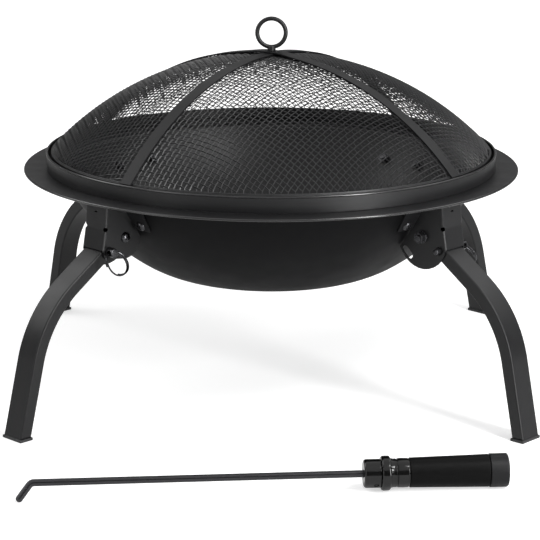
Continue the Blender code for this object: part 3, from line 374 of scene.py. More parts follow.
def sprayed_coat(name, colour, ior, low, high):
    """Polyester powder coat: orange peel, a roughness between low and high and a faint drift of tone."""
    material, tree, shader = new_finish(name, colour, IOR=ior)
    if tree:
        dimple(tree, shader, noise(tree, sizes().grain / MM, 3.0), 0.05 * MM, 0.45)
        roughen(tree, shader, noise(tree, 24.0), low, high)
        tint(tree, shader, noise(tree, 60.0), colour, 0.9, 1.12)
    return material


def powder_coat(name="satin black powder coat", ior=1.38):
    """Satin powder coat: a soft even sheen broken by fine orange peel."""
    return sprayed_coat(name, colours().coat, ior, 0.36, 0.42)


def matt_coat_with_painted_shade():
    """The bowl's outside on faces that look down: a duller black, its darker colour painted shade for the
    shade under the bowl.
    """
    return sprayed_coat("matt black powder coat", colours().outside, 1.17, 0.46, 0.54)


def burnished_coat():
    """Powder coat rubbed smooth along the rolled edges by handling: a thin bright line."""
    material, tree, shader = new_finish("burnished black powder coat", colours().coat, IOR=1.55)
    if tree:
        roughen(tree, shader, noise(tree, 12.0), 0.17, 0.25)
    return material


def painted_wire():
    """Woven steel wire under thin black paint: small bright glints along the crimps."""
    material, tree, shader = new_finish("black painted wire", colours().wire, IOR=1.5)
    if tree:
        roughen(tree, shader, noise(tree, 9.0), 0.32, 0.46)
    return material


def black_zinc():
    """Black zinc plating on turned steel: dark, with a soft metallic shine."""
    material, tree, shader = new_finish("black zinc plate", colours().zinc, Metallic=0.85)
    if tree:
        roughen(tree, shader, noise(tree, 1.5), 0.24, 0.36)
        # The real grain is under 0.1 mm wide, too fine to show, so it is drawn coarser.
        dimple(tree, shader, noise(tree, 0.8), 0.02 * MM, 0.3)
    return material


def dark_nickel():
    """Dark nickel plating on drawn wire and bolt heads: bright small glints."""
    material, tree, shader = new_finish("dark nickel plate", colours().bolt, Metallic=1.0)
    if tree:
        roughen(tree, shader, noise(tree, 2.0), 0.2, 0.34)
    return material


def moulded_cap():
    """Moulded polyethylene: dull, slightly waxy black."""
    material, tree, shader = new_finish("black moulded polyethylene", colours().cap, IOR=1.5)
    if tree:
        roughen(tree, shader, noise(tree, 3.0), 0.5, 0.62)
        # The mould's real texture is about 0.1 mm wide, too fine to show, so it is drawn coarser.
        dimple(tree, shader, noise(tree, 0.9), 0.03 * MM, 0.3)
    return material


def oxide_rod():
    """Black oxide on drawn rod: grey sheen with faint draw lines along it."""
    colour = colours().rod
    material, tree, shader = new_finish("black oxide on drawn rod", colour, Metallic=0.9)
    if tree:
        # Real draw lines are about 0.1 mm apart, too fine to show, so they are drawn coarser.
        roughen(tree, shader, noise(tree, 1.0, stretch=(0.03, 1.0, 1.0)), 0.2, 0.3)
        tint(tree, shader, noise(tree, 30.0), colour, 0.85, 1.1)
    return material


def gloss_enamel():
    """Gloss black enamel on a turned ferrule: deep black with crisp highlights."""
    material, tree, shader = new_finish("gloss black enamel", colours().ferrule, IOR=1.42)
    if tree:
        roughen(tree, shader, noise(tree, 6.0), 0.1, 0.17)
    return material


def wrinkle_paint():
    """Wrinkle-finish black paint on the grip's butt: a fine grey speckle."""
    colour = colours().coat
    material, tree, shader = new_finish("black wrinkle paint", colour, IOR=1.27)
    if tree:
        # The real wrinkle is about 0.4 mm wide, so it is drawn at twice that to show.
        wrinkle = noise(tree, 0.8)
        dimple(tree, shader, wrinkle, 0.2 * MM, 0.8)
        roughen(tree, shader, wrinkle, 0.3, 0.5)
        tint(tree, shader, wrinkle, colour, 0.3, 1.5)
    return material


def lacquered_wood():
    """Satin lacquer on turned wood: faint pores run along the grip."""
    colour = colours().grip
    material, tree, shader = new_finish("satin black lacquered wood", colour, IOR=1.16)
    if tree:
        # Real pores are about 0.2 mm wide, too fine to show, so they are drawn coarser.
        pores = noise(tree, 1.1, 3.0, stretch=(0.12, 1.0, 1.0))
        dimple(tree, shader, pores, 0.12 * MM, 0.5)
        roughen(tree, shader, pores, 0.34, 0.5)
        tint(tree, shader, noise(tree, 1.6, 3.0, stretch=(0.2, 1.0, 1.0)), colour, 0.7, 1.6)
    return material


# Bowl and lid

# Steps round the rim, the band and the screen's edge.
RIM_STEPS = 192
BOWL_SHEET = 1.2 * MM
FLOOR_RADIUS = 82.0 * MM
KNUCKLE_RADIUS = 130.2 * MM
KNUCKLE_TURN = math.radians(30.5)
WALL_RADIUS = 206.0 * MM
MOUTH_CORNER = 4.0 * MM
BOWL_DEPTH = 122.6 * MM
HEM_RADIUS = 1.3 * MM
HEM_WIDTH = 5.0 * MM
# The outside's darker coat, which paints the shade under the bowl, starts this far under the rim's top, on
# faces that look down.
SHADED_OUTSIDE_DROP = 3.0 * MM
LOOKS_DOWN = -0.05
RIM_MID = RIM_TOP - BOWL_SHEET / 2
BOWL_FLOOR = RIM_MID - BOWL_DEPTH
KNUCKLE_CENTRE = (FLOOR_RADIUS, BOWL_FLOOR + KNUCKLE_RADIUS)
WALL_CENTRE = (
    FLOOR_RADIUS - (WALL_RADIUS - KNUCKLE_RADIUS) * math.sin(KNUCKLE_TURN),
    KNUCKLE_CENTRE[1] + (WALL_RADIUS - KNUCKLE_RADIUS) * math.cos(KNUCKLE_TURN),
)
SKIRT_RADIUS = 253.7 * MM
SKIRT_SHEET = 1.2 * MM
SKIRT_INSIDE = SKIRT_RADIUS - SKIRT_SHEET
SKIRT_CORNER = 0.3 * MM
BEAD_RADIUS = 1.3 * MM
BEAD_OUT = 0.6 * MM
SCREEN_RADIUS = 247.5 * MM
SCREEN_RISE = 106.1 * MM
SCREEN_TOP = BAND_TOP + SCREEN_RISE
# The screen's pressed edge: a band down inside the skirt, a round lap over the wires and a lip outside.
EDGE_DROP = 10.0 * MM
LAP_WIDTH = 1.4 * MM
LAP_RISE = 1.2 * MM
LIP_OUT = 0.5 * MM
LIP_RADIUS = 0.6 * MM
# The weave ends here and each wire's end is tucked down behind the lap.
WEAVE_RADIUS = SCREEN_RADIUS - 1.0 * MM
TUCK_RADIUS = SCREEN_RADIUS - 1.2 * MM
TUCK_LEVEL = BAND_TOP - 2.0 * MM
WARP_TURN = math.radians(53.0)
WEFT_TURN = math.radians(145.7)
# How far a wire waves to each side, as a share of its thickness.
CRIMP = 0.42
STRAP_THICKNESS = 1.8 * MM
STRAP_WIDTH = 15.0 * MM
STRAP_CORNER = 0.45 * MM
STRAP_TOP = SCREEN_TOP + 2.0 * MM
STRAP_FOOT_RADIUS = (SKIRT_INSIDE + SCREEN_RADIUS) / 2
STRAP_FOOT_DROP = 9.0 * MM
STRAP_HOLE = 3.3 * MM
HUMP_REACH = 26.0 * MM
# The straps with the hump that takes one over the other, and the way each runs in degrees.
STRAPS = (("upper_strap", STRAP_THICKNESS + 0.3 * MM, 52.2), ("lower_strap", 0.0, -37.8))
LOOP_WIRE = 2.4 * MM
NECK_RADIUS = 4.6 * MM
NECK_CORNER = 0.9 * MM
NECK_HEIGHT = 5.0 * MM
STEM_RADIUS = 3.0 * MM


def bowl_path(offset):
    """Half section of the pressed sheet, moved out of its middle by offset."""
    slope = math.acos((WALL_CENTRE[1] + MOUTH_CORNER - RIM_MID) / (WALL_RADIUS + MOUTH_CORNER))
    corner = (WALL_CENTRE[0] + (WALL_RADIUS + MOUTH_CORNER) * math.sin(slope), RIM_MID - MOUTH_CORNER)
    bend = KNUCKLE_TURN - QUARTER
    knuckle = arc(KNUCKLE_CENTRE, KNUCKLE_RADIUS + offset, -QUARTER, bend, 12)
    wall = arc(WALL_CENTRE, WALL_RADIUS + offset, bend, slope - QUARTER, 18)
    mouth = arc(corner, MOUTH_CORNER - offset, slope + QUARTER, QUARTER, 8)
    return [(0.0, BOWL_FLOOR - offset)] + knuckle + wall[1:] + mouth[1:]


class FIREPIT_OT_bowl(bpy.types.Operator):
    """Presses the bowl with its flat rim and the hem folded under its edge"""

    bl_idname = "firepit.bowl"
    bl_label = "Bowl"

    def execute(self, context):
        inner = bowl_path(-BOWL_SHEET / 2)
        outer = bowl_path(BOWL_SHEET / 2)
        hem_inside = RIM_RADIUS - HEM_WIDTH
        edge = arc((RIM_RADIUS - HEM_RADIUS, RIM_TOP - HEM_RADIUS), HEM_RADIUS, QUARTER, -QUARTER, 10)
        hem = [(hem_inside, RIM_TOP - 2 * HEM_RADIUS), (hem_inside, RIM_TOP - BOWL_SHEET)]
        mesh = turned(inner + edge + hem + outer[::-1], RIM_STEPS)
        coat = powder_coat()
        bowl = piece("pressed_bowl", mesh, coat, "base", ["bowl"], ON_AXIS, sharp=50)
        bowl.data.materials.append(matt_coat_with_painted_shade())
        bowl.data.materials.append(burnished_coat())
        for face in bowl.data.polygons:
            # Faces that look down get the darker coat as painted shade.
            outside = face.normal.z < LOOKS_DOWN and face.center.z < RIM_TOP - SHADED_OUTSIDE_DROP
            on_hem = (face.center.xy - PIT_AXIS.xy).length > RIM_RADIUS - HEM_RADIUS
            face.material_index = 2 if on_hem else int(outside)
        return {"FINISHED"}


class FIREPIT_OT_lid_band(bpy.types.Operator):
    """Rolls the lid's band with the bead along its top"""

    bl_idname = "firepit.lid_band"
    bl_label = "Lid band"

    def execute(self, context):
        foot = BAND_LOW.z
        centre = (SKIRT_RADIUS + BEAD_OUT - BEAD_RADIUS, BAND_TOP - BEAD_RADIUS)
        inside = math.pi + math.acos((centre[0] - SKIRT_INSIDE) / BEAD_RADIUS)
        outside = -math.acos((SKIRT_RADIUS - centre[0]) / BEAD_RADIUS)
        bead = arc(centre, BEAD_RADIUS, inside, outside, 14)
        corner = [(SKIRT_RADIUS, foot + SKIRT_CORNER), (SKIRT_RADIUS - SKIRT_CORNER, foot)]
        mesh = turned(bead + corner + [(SKIRT_INSIDE, foot), bead[0]], RIM_STEPS)
        coat = powder_coat()
        band = piece("rolled_band", mesh, coat, "lid_body", ["lid_band"], ON_AXIS, sharp=50)
        band.data.materials.append(burnished_coat())
        for face in band.data.polygons:
            face.material_index = int(face.center.z > BAND_TOP - 2 * BEAD_RADIUS)
        return {"FINISHED"}


def screen_lines():
    """Middle lines of all wires: two sets, straight seen from above, one pitch apart on the dome."""
    ball = (SCREEN_RADIUS**2 + SCREEN_RISE**2) / (2 * SCREEN_RISE)
    step = sizes().mesh_pitch / ball
    count = int(math.asin(WEAVE_RADIUS / ball) / step)
    crimp = sizes().wire * CRIMP
    rising = Vector((math.cos(WARP_TURN), math.sin(WARP_TURN)))
    falling = Vector((math.cos(WEFT_TURN), math.sin(WEFT_TURN)))
    skew = rising.cross(falling)
    lines = []
    for along, across, sign in ((rising, falling, 1), (falling, rising, -1)):
        for fixed in range(-count, count + 1):
            shift = sign * ball * math.sin(fixed * step) / skew
            line = []
            for n in range(-count, count + 1):
                place = across * shift - along * (sign * ball * math.sin(n * step) / skew)
                if place.length < WEAVE_RADIUS:
                    over = 1 if (fixed + n) % 2 == (sign > 0) else -1
                    point = Vector((place.x, place.y, math.sqrt(ball**2 - place.length_squared)))
                    line.append(point * (1 + over * crimp / ball) + Vector((0, 0, SCREEN_TOP - ball)))
            if len(line) > 1:
                lines.append(tucked(line))
    return lines


def tucked(line):
    """Runs a wire's two ends on to the edge band and down behind its lap."""
    ends = []
    for point in (line[0], line[-1]):
        flat = Vector((point.x, point.y, 0)).normalized()
        ends.append(flat * TUCK_RADIUS + Vector((0, 0, TUCK_LEVEL)))
    return [ends[0]] + line + [ends[1]]


class FIREPIT_OT_screen(bpy.types.Operator):
    """Weaves the wire dome and presses its edge band round it"""

    bl_idname = "firepit.screen"
    bl_label = "Spark screen"

    def execute(self, context):
        weave = wires(screen_lines(), sizes().wire / 2, 0)
        low = BAND_TOP - EDGE_DROP
        inner = SCREEN_RADIUS - LAP_WIDTH
        half_lap = LAP_WIDTH / 2
        lap = arc((SCREEN_RADIUS - half_lap, BAND_TOP + LAP_RISE - half_lap), half_lap, math.pi, 0, 8)
        lip = arc((SCREEN_RADIUS + LIP_OUT, BAND_TOP - LIP_RADIUS), LIP_RADIUS, QUARTER, -QUARTER, 6)
        side = [(SCREEN_RADIUS, BAND_TOP)] + lip + [(SCREEN_RADIUS, BAND_TOP - 2 * LIP_RADIUS)]
        edge = turned([(inner, low)] + lap + side + [(SCREEN_RADIUS, low), (inner, low)], RIM_STEPS)
        mesh = joined(weave, edge)
        paint = painted_wire()
        piece("woven_screen", mesh, paint, "lid_body", ["lid_mesh"], ON_AXIS, sharp=60)
        return {"FINISHED"}


class FIREPIT_OT_straps(bpy.types.Operator):
    """Bends the two flat straps over the dome, one over the other"""

    bl_idname = "firepit.straps"
    bl_label = "Straps"

    def execute(self, context):
        low, high = STRAP_TOP - STRAP_FOOT_DROP, STRAP_TOP + STRAP_FOOT_DROP
        hole = [(0, low), (STRAP_HOLE, low), (STRAP_HOLE, high), (0, high)]
        half = STRAP_THICKNESS / 2
        for node, hump, azimuth in STRAPS:
            outline = self.side(hump, half) + self.side(hump, -half)[::-1]
            mesh = cut(plate(outline, STRAP_WIDTH, STRAP_CORNER, 2), turned(hole, 32))
            place = ON_AXIS @ Matrix.Rotation(math.radians(azimuth) - QUARTER, 4, "Z")
            coat = powder_coat("dull black powder coat", 1.26)
            piece(f"bent_{node}", mesh, coat, "lid_body", [node], place)
        return {"FINISHED"}

    @staticmethod
    def side(hump, offset):
        """One face of the strap seen from its side: a foot in the band, then an arc over the dome."""
        rise = STRAP_TOP - BAND_TOP
        ball = (STRAP_FOOT_RADIUS**2 + rise**2) / (2 * rise)
        start = math.atan2(BAND_TOP - STRAP_TOP + ball, STRAP_FOOT_RADIUS)
        over = arc((0.0, STRAP_TOP - ball), ball + offset, start, math.pi - start, 120)
        over = [(x, z + hump / (1 + (x / HUMP_REACH) ** 4)) for x, z in over]
        low = BAND_TOP - STRAP_FOOT_DROP
        return [(STRAP_FOOT_RADIUS + offset, low)] + over + [(-STRAP_FOOT_RADIUS - offset, low)]


class FIREPIT_OT_lift_ring(bpy.types.Operator):
    """Bends the lifting ring, with its shoulder, its stem and the nut under the dome"""

    bl_idname = "firepit.lift_ring"
    bl_label = "Lifting ring"

    def execute(self, context):
        low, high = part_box("lift_ring")
        radius = (high.x - low.x) / 2 - LOOP_WIRE
        centre = high.z - radius - LOOP_WIRE
        bm = bmesh.new()
        bmesh.ops.create_circle(bm, segments=20, radius=LOOP_WIRE)
        bmesh.ops.translate(bm, vec=(radius, 0, 0), verts=bm.verts)
        full_spin(bm, bm.verts[:] + bm.edges[:], (0, 1, 0), 72)
        bmesh.ops.translate(bm, vec=(0, 0, centre), verts=bm.verts)
        top = centre - radius + LOOP_WIRE / 2
        foot = top - NECK_HEIGHT
        neck = arc((NECK_RADIUS - NECK_CORNER, top - NECK_CORNER), NECK_CORNER, QUARTER, 0, 5)
        stem = [(NECK_RADIUS, foot), (STEM_RADIUS, foot), (STEM_RADIUS, low.z), (0, low.z)]
        mesh = cut(faced_out(bm), turned([(0, top)] + neck + stem, 40), "UNION")
        coat = powder_coat()
        piece("lifting_ring", mesh, coat, "lid_body", ["lift_ring"], ON_AXIS)
        nut = cad_copy("lift_nut")
        piece("stem_nut", nut, black_zinc(), "lid_body", ["lift_nut"], edge=sizes().edge)
        return {"FINISHED"}


# Legs and brackets

LEG_WIDTH = 28.4 * MM
LEG_DEPTH = 14.4 * MM
LEG_WALL = 1.5 * MM
LEG_CORNER = 1.8 * MM
LEG_OFFSET = 1.25 * MM
LEG_TAIL = 9.0 * MM
LEG_START = math.radians(34.6)
LEG_END = math.radians(76.9)
LEG_STRAIGHT = 79.7 * MM
LEG_BEND_RADIUS = 123.3 * MM
# The legs' sideways lean in their hinges, as a slope.
LEG_LEAN = 0.026
BORE_CORNER = 0.6 * MM
BORE_REACH = 12.0 * MM
CAP_SOLE = 3.5 * MM
CAP_EDGE = 0.3 * MM
CHEEK_FACE = 16.6 * MM
PIVOT_HOLE = 4.05 * MM
# Where the locked pin crosses the tube, seen from the pivot, and the room that it takes.
PIN_DISTANCE = 25.9 * MM
PIN_TURN = math.radians(27.8)
PIN_ROOM = 3.6 * MM


def leg_edge(offset, end_height, tail):
    """Side view of one edge of the leg from its upper end, the pivot at zero."""
    start_way = Vector((math.cos(LEG_START), -math.sin(LEG_START)))
    start_out = Vector((math.sin(LEG_START), math.cos(LEG_START)))
    centre = start_way * LEG_STRAIGHT + start_out * (LEG_OFFSET - LEG_BEND_RADIUS)
    first = start_out * (LEG_OFFSET + offset) - start_way * tail
    bend = arc(centre, LEG_BEND_RADIUS + offset, QUARTER - LEG_START, QUARTER - LEG_END, 28)
    last = Vector(bend[-1])
    last += Vector((math.cos(LEG_END), -math.sin(LEG_END))) * ((last.y - end_height) / math.sin(LEG_END))
    return [tuple(first)] + bend + [tuple(last)]


def leg_outline(half, end_height, tail):
    """Side view of the leg, or of its bore, that is half deep to each side of its middle."""
    return leg_edge(half, end_height, tail) + leg_edge(-half, end_height, tail)[::-1]


class FIREPIT_OT_legs(bpy.types.Operator):
    """Bends the four rectangular tubes and sets their foot caps"""

    bl_idname = "firepit.legs"
    bl_label = "Legs"

    def execute(self, context):
        for station in STATIONS:
            pivot = joint_point(f"leg_fold_{station}")
            body = f"leg_{station}_body"
            node = f"leg_{station}"
            place = station_frame(station, pivot)
            piece(f"bent_{node}", self.tube(pivot.z), powder_coat(), body, [node], place)
            node = f"foot_cap_{station}"
            cap = cad_copy(node)
            piece(f"shoe_{station}", cap, moulded_cap(), body, [node], edge=CAP_EDGE)
        return {"FINISHED"}

    @staticmethod
    def tube(height):
        """One leg with its pivot hole and the way its locked pin takes out of the tube."""
        end = CAP_SOLE - height
        half = LEG_DEPTH / 2
        mesh = plate(leg_outline(half, end, LEG_TAIL), LEG_WIDTH, LEG_CORNER, 3)
        bore = leg_outline(half - LEG_WALL, end - BORE_REACH, 2 * LEG_TAIL)
        mesh = cut(mesh, plate(bore, LEG_WIDTH - 2 * LEG_WALL, BORE_CORNER, 1))
        mesh = cut(mesh, rod_along_y(PIVOT_HOLE, -LEG_WIDTH, LEG_WIDTH))
        reach = Vector((PIN_DISTANCE * math.cos(PIN_TURN), -PIN_DISTANCE * math.sin(PIN_TURN)))
        leave = math.asin((half + LEG_OFFSET + PIN_ROOM) / reach.length) - LEG_START
        angle = math.atan2(reach.y, reach.x)
        inner = arc((0, 0), reach.length - PIN_ROOM, angle, leave, 8)
        outer = arc((0, 0), reach.length + PIN_ROOM, leave, angle, 8)
        nose = arc(reach, PIN_ROOM, angle, angle - math.pi, 14)[1:-1]
        mesh = cut(mesh, plate(inner + outer + nose, LEG_WIDTH + 2 * MM, 0.0, 0))
        lean = Matrix()
        lean[1][2] = LEG_LEAN
        mesh.transform(lean)
        return mesh


class FIREPIT_OT_brackets(bpy.types.Operator):
    """Finishes the four folded brackets"""

    bl_idname = "firepit.brackets"
    bl_label = "Brackets"

    def execute(self, context):
        for station in STATIONS:
            node = f"bracket_{station}"
            sheet = cad_copy(node)
            edge = sizes().edge
            piece(f"folded_{node}", sheet, powder_coat(), "base", [node], edge=edge)
        return {"FINISHED"}


# Fasteners

NUT_EDGE = 0.4 * MM
# A head stands this far off its cheek.
HEAD_GAP = 0.3 * MM
PIVOT_BOLT_END = 9.1 * MM
EAR_SEAT = 2.7 * MM
EAR_BOLT_END = 7.3 * MM
EAR_LEVEL = 213.0 * MM
EAR_REACH = 27.5 * MM
# The solids' rim is made of 48 flats, which dip inside its round by this.
FACET_DIP = RIM_RADIUS * (1 - math.cos(math.pi / 48))


def dome_head(radius, height, seat, steps=8):
    """Half section of a domed head standing on seat."""
    angles = [QUARTER * i / steps for i in range(steps + 1)]
    return [(radius * math.sin(a), seat + height * math.cos(a)) for a in angles]


def cross_bolt(seat, tip, head, rise, shank, soft, cross, sides):
    """A bolt along Y with a domed head on seat and a cross recess, its sizes in millimetres."""
    length, width, depth = (size * MM for size in cross)
    profile = dome_head(head * MM, rise * MM, seat)
    profile += [(shank * MM, seat), (shank * MM, tip + soft * MM), ((shank - soft) * MM, tip), (0, tip)]
    mesh = turned_along_y(profile, sides)
    for turn in (math.pi / 4, -math.pi / 4):
        mesh = cut(mesh, bar((length, 2 * depth, width), (0, seat + rise * MM, 0), turn))
    return mesh


class FIREPIT_OT_fasteners(bpy.types.Operator):
    """Turns the pivot bolts and the ear bolts and sets their nuts"""

    bl_idname = "firepit.fasteners"
    bl_label = "Bolts and nuts"

    def execute(self, context):
        pivot_bolt = cross_bolt(
            CHEEK_FACE + HEAD_GAP, -CHEEK_FACE - PIVOT_BOLT_END,
            head=5.9, rise=3.4, shank=3.75, soft=0.6, cross=(6.0, 1.3, 1.7), sides=40,
        )
        ear_bolt = cross_bolt(
            EAR_SEAT, -EAR_BOLT_END - FACET_DIP - HEAD_GAP,
            head=5.7, rise=3.0, shank=2.9, soft=0.5, cross=(5.6, 1.2, 1.5), sides=32,
        )
        for station in STATIONS:
            place = station_frame(station, joint_point(f"leg_fold_{station}"))
            node = f"pivot_bolt_{station}"
            piece(f"turned_{node}", pivot_bolt, dark_nickel(), "base", [node], place)
            for node in (f"pivot_nut_{station}", f"ear_nut_{station}_left", f"ear_nut_{station}_right"):
                nut = cad_copy(node)
                piece(f"plated_{node}", nut, black_zinc(), "base", [node], edge=NUT_EDGE)
            for side, word in ((-1, "left"), (1, "right")):
                node = f"ear_bolt_{station}_{word}"
                place = station_frame(station) @ self.ear_frame(side)
                piece(f"turned_{node}", ear_bolt, black_zinc(), "base", [node], place)
        return {"FINISHED"}

    @staticmethod
    def ear_frame(side):
        """Frame on the bowl's wall at an ear bolt, Y along the bolt outwards."""
        slope = math.acos((WALL_CENTRE[1] - EAR_LEVEL) / WALL_RADIUS)
        radius = WALL_CENTRE[0] + WALL_RADIUS * math.sin(slope)
        turn = Matrix.Rotation(side * math.asin(EAR_REACH / radius), 4, "Z")
        place = Matrix.Translation((radius, 0, EAR_LEVEL))
        return turn @ place @ Matrix.Rotation(QUARTER - slope, 4, "Y") @ Matrix.Rotation(-QUARTER, 4, "Z")


# Lock pins

PIN_HEAD_RADIUS = 5.2 * MM
PIN_HALF_HEAD = 5.0 * MM
PIN_SHANK_RADIUS = 3.3 * MM
PIN_SOFT = 1.1 * MM
PIN_EASE = 0.4 * MM
PIN_END = 6.5 * MM
PIN_EYE_RADIUS = 3.1 * MM
SPLIT_RADIUS = 13.3 * MM
SPLIT_WIRE = 0.95 * MM
SPLIT_GAP = 0.45 * MM
# Where the split ring's outer end lies and how far the ring rests swung out.
SPLIT_START = math.radians(35)
SPLIT_SWING = math.radians(35)


class FIREPIT_OT_lock_pins(bpy.types.Operator):
    """Turns the lock pins and winds the split rings through their eyes"""

    bl_idname = "firepit.lock_pins"
    bl_label = "Lock pins and rings"

    def execute(self, context):
        pin = self.pin()
        ring = self.ring()
        for station in STATIONS:
            place = station_frame(station, joint_point(f"ring_swing_{station}"))
            node = f"lock_pin_{station}"
            piece(f"turned_{node}", pin, black_zinc(), f"pin_{station}_body", [node], place)
            node = f"pin_ring_{station}"
            piece(f"wound_{node}", ring, dark_nickel(), f"ring_{station}_body", [node], place)
        return {"FINISHED"}

    @staticmethod
    def pin():
        """Lock pin with zero at its eye."""
        high, head, shank = PIN_HALF_HEAD, PIN_HEAD_RADIUS, PIN_SHANK_RADIUS
        tip = -CHEEK_FACE - HEAD_GAP - high - CHEEK_FACE - PIN_END
        profile = [(0, high), (head - PIN_SOFT, high), (head - PIN_EASE / 2, high - PIN_EASE)]
        profile += [(head, high - PIN_SOFT), (head, -high), (shank, -high), (shank, tip + PIN_SOFT)]
        profile += [(shank - PIN_EASE, tip + PIN_EASE), (shank - PIN_SOFT, tip), (0, tip)]
        eye = rod_along_y(PIN_EYE_RADIUS, -2 * head, 2 * head, 28)
        eye.transform(Matrix.Rotation(QUARTER, 4, "Z"))
        return cut(turned_along_y(profile, 36), eye)

    @staticmethod
    def ring():
        """Two flat turns of wire joined by a short jog, hanging from the eye and swung out."""
        jog = math.radians(30)
        half_pitch = SPLIT_WIRE + SPLIT_GAP / 2
        steps = 88
        points = []
        for i in range(steps + 1):
            angle = jog + (4 * math.pi - 2 * jog) * i / steps
            share = min(max((angle - 2 * math.pi + jog) / (2 * jog), 0), 1)
            around = angle - SPLIT_START
            side = half_pitch * (2 * share - 1)
            points.append((SPLIT_RADIUS * math.cos(around), side, SPLIT_RADIUS * math.sin(around)))
        mesh = wires([points], SPLIT_WIRE, 3)
        sagitta = SPLIT_RADIUS - math.sqrt(SPLIT_RADIUS**2 - PIN_HEAD_RADIUS**2)
        mesh.transform(Matrix.Translation((0, 0, sagitta / 2 - SPLIT_RADIUS)))
        mesh.transform(Matrix.Rotation(SPLIT_SWING, 4, "X"))
        return mesh


# Poker

POKER_YAW = math.radians(5.2)
FLANGE_RADIUS = 17.35 * MM
ROD_RADIUS = 3.6 * MM
ROD_LENGTH = 327.0 * MM
ROD_TAIL = 30.0 * MM
HOOK_TURN = math.radians(53)
HOOK_LENGTH = 19.0 * MM
HOOK_BEND = 6.0 * MM
FERRULE_RADIUS = 14.35 * MM
FERRULE_LENGTH = 17.0 * MM
FERRULE_FRONT = 3.0 * MM
FERRULE_BACK = 0.8 * MM
FERRULE_BORE = 5.0 * MM
# The ferrule's front opens by this round the rod, which has a little play in it.
MOUTH_SOFT = 0.8 * MM
ROD_PLAY = 0.2 * MM
# The peg sits in a round hollow on the side that faces away from the fire pit.
PEG_TURN = math.radians(-142)
PEG_PLACE = 12.0 * MM
PEG_RADIUS = 1.5 * MM
PEG_RISE = 0.5 * MM
PEG_SEAT = -0.7 * MM
PEG_DEPTH = 2.0 * MM
HOLLOW_RADIUS = 2.4 * MM
HOLLOW_DEPTH = 1.3 * MM
# The grip's enamelled flange and collar end here, and its wrinkled butt starts here.
COLLAR_END = 45.5 * MM
BUTT_START = FERRULE_LENGTH + 109.0 * MM


def poker_frame():
    """The poker's own frame: X along it from the ferrule's front, on its CAD place."""
    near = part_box("poker_ferrule")[0]
    x = near.x + FERRULE_RADIUS * math.sin(POKER_YAW)
    y = near.y + FERRULE_RADIUS * math.cos(POKER_YAW)
    return Matrix.Translation((x, y, FLANGE_RADIUS)) @ Matrix.Rotation(POKER_YAW, 4, "Z")


def along_x(mesh):
    mesh.transform(Matrix.Rotation(QUARTER, 4, "Y"))
    return mesh


def groove(profile, x, radius):
    """Adds a narrow turned groove to a profile in millimetres and gives the place where it ends."""
    lip, deep = radius - 0.1, radius - 0.9
    profile += [(lip, x), (deep, x + 0.3), (deep, x + 1.0), (lip, x + 1.4)]
    return x + 1.4


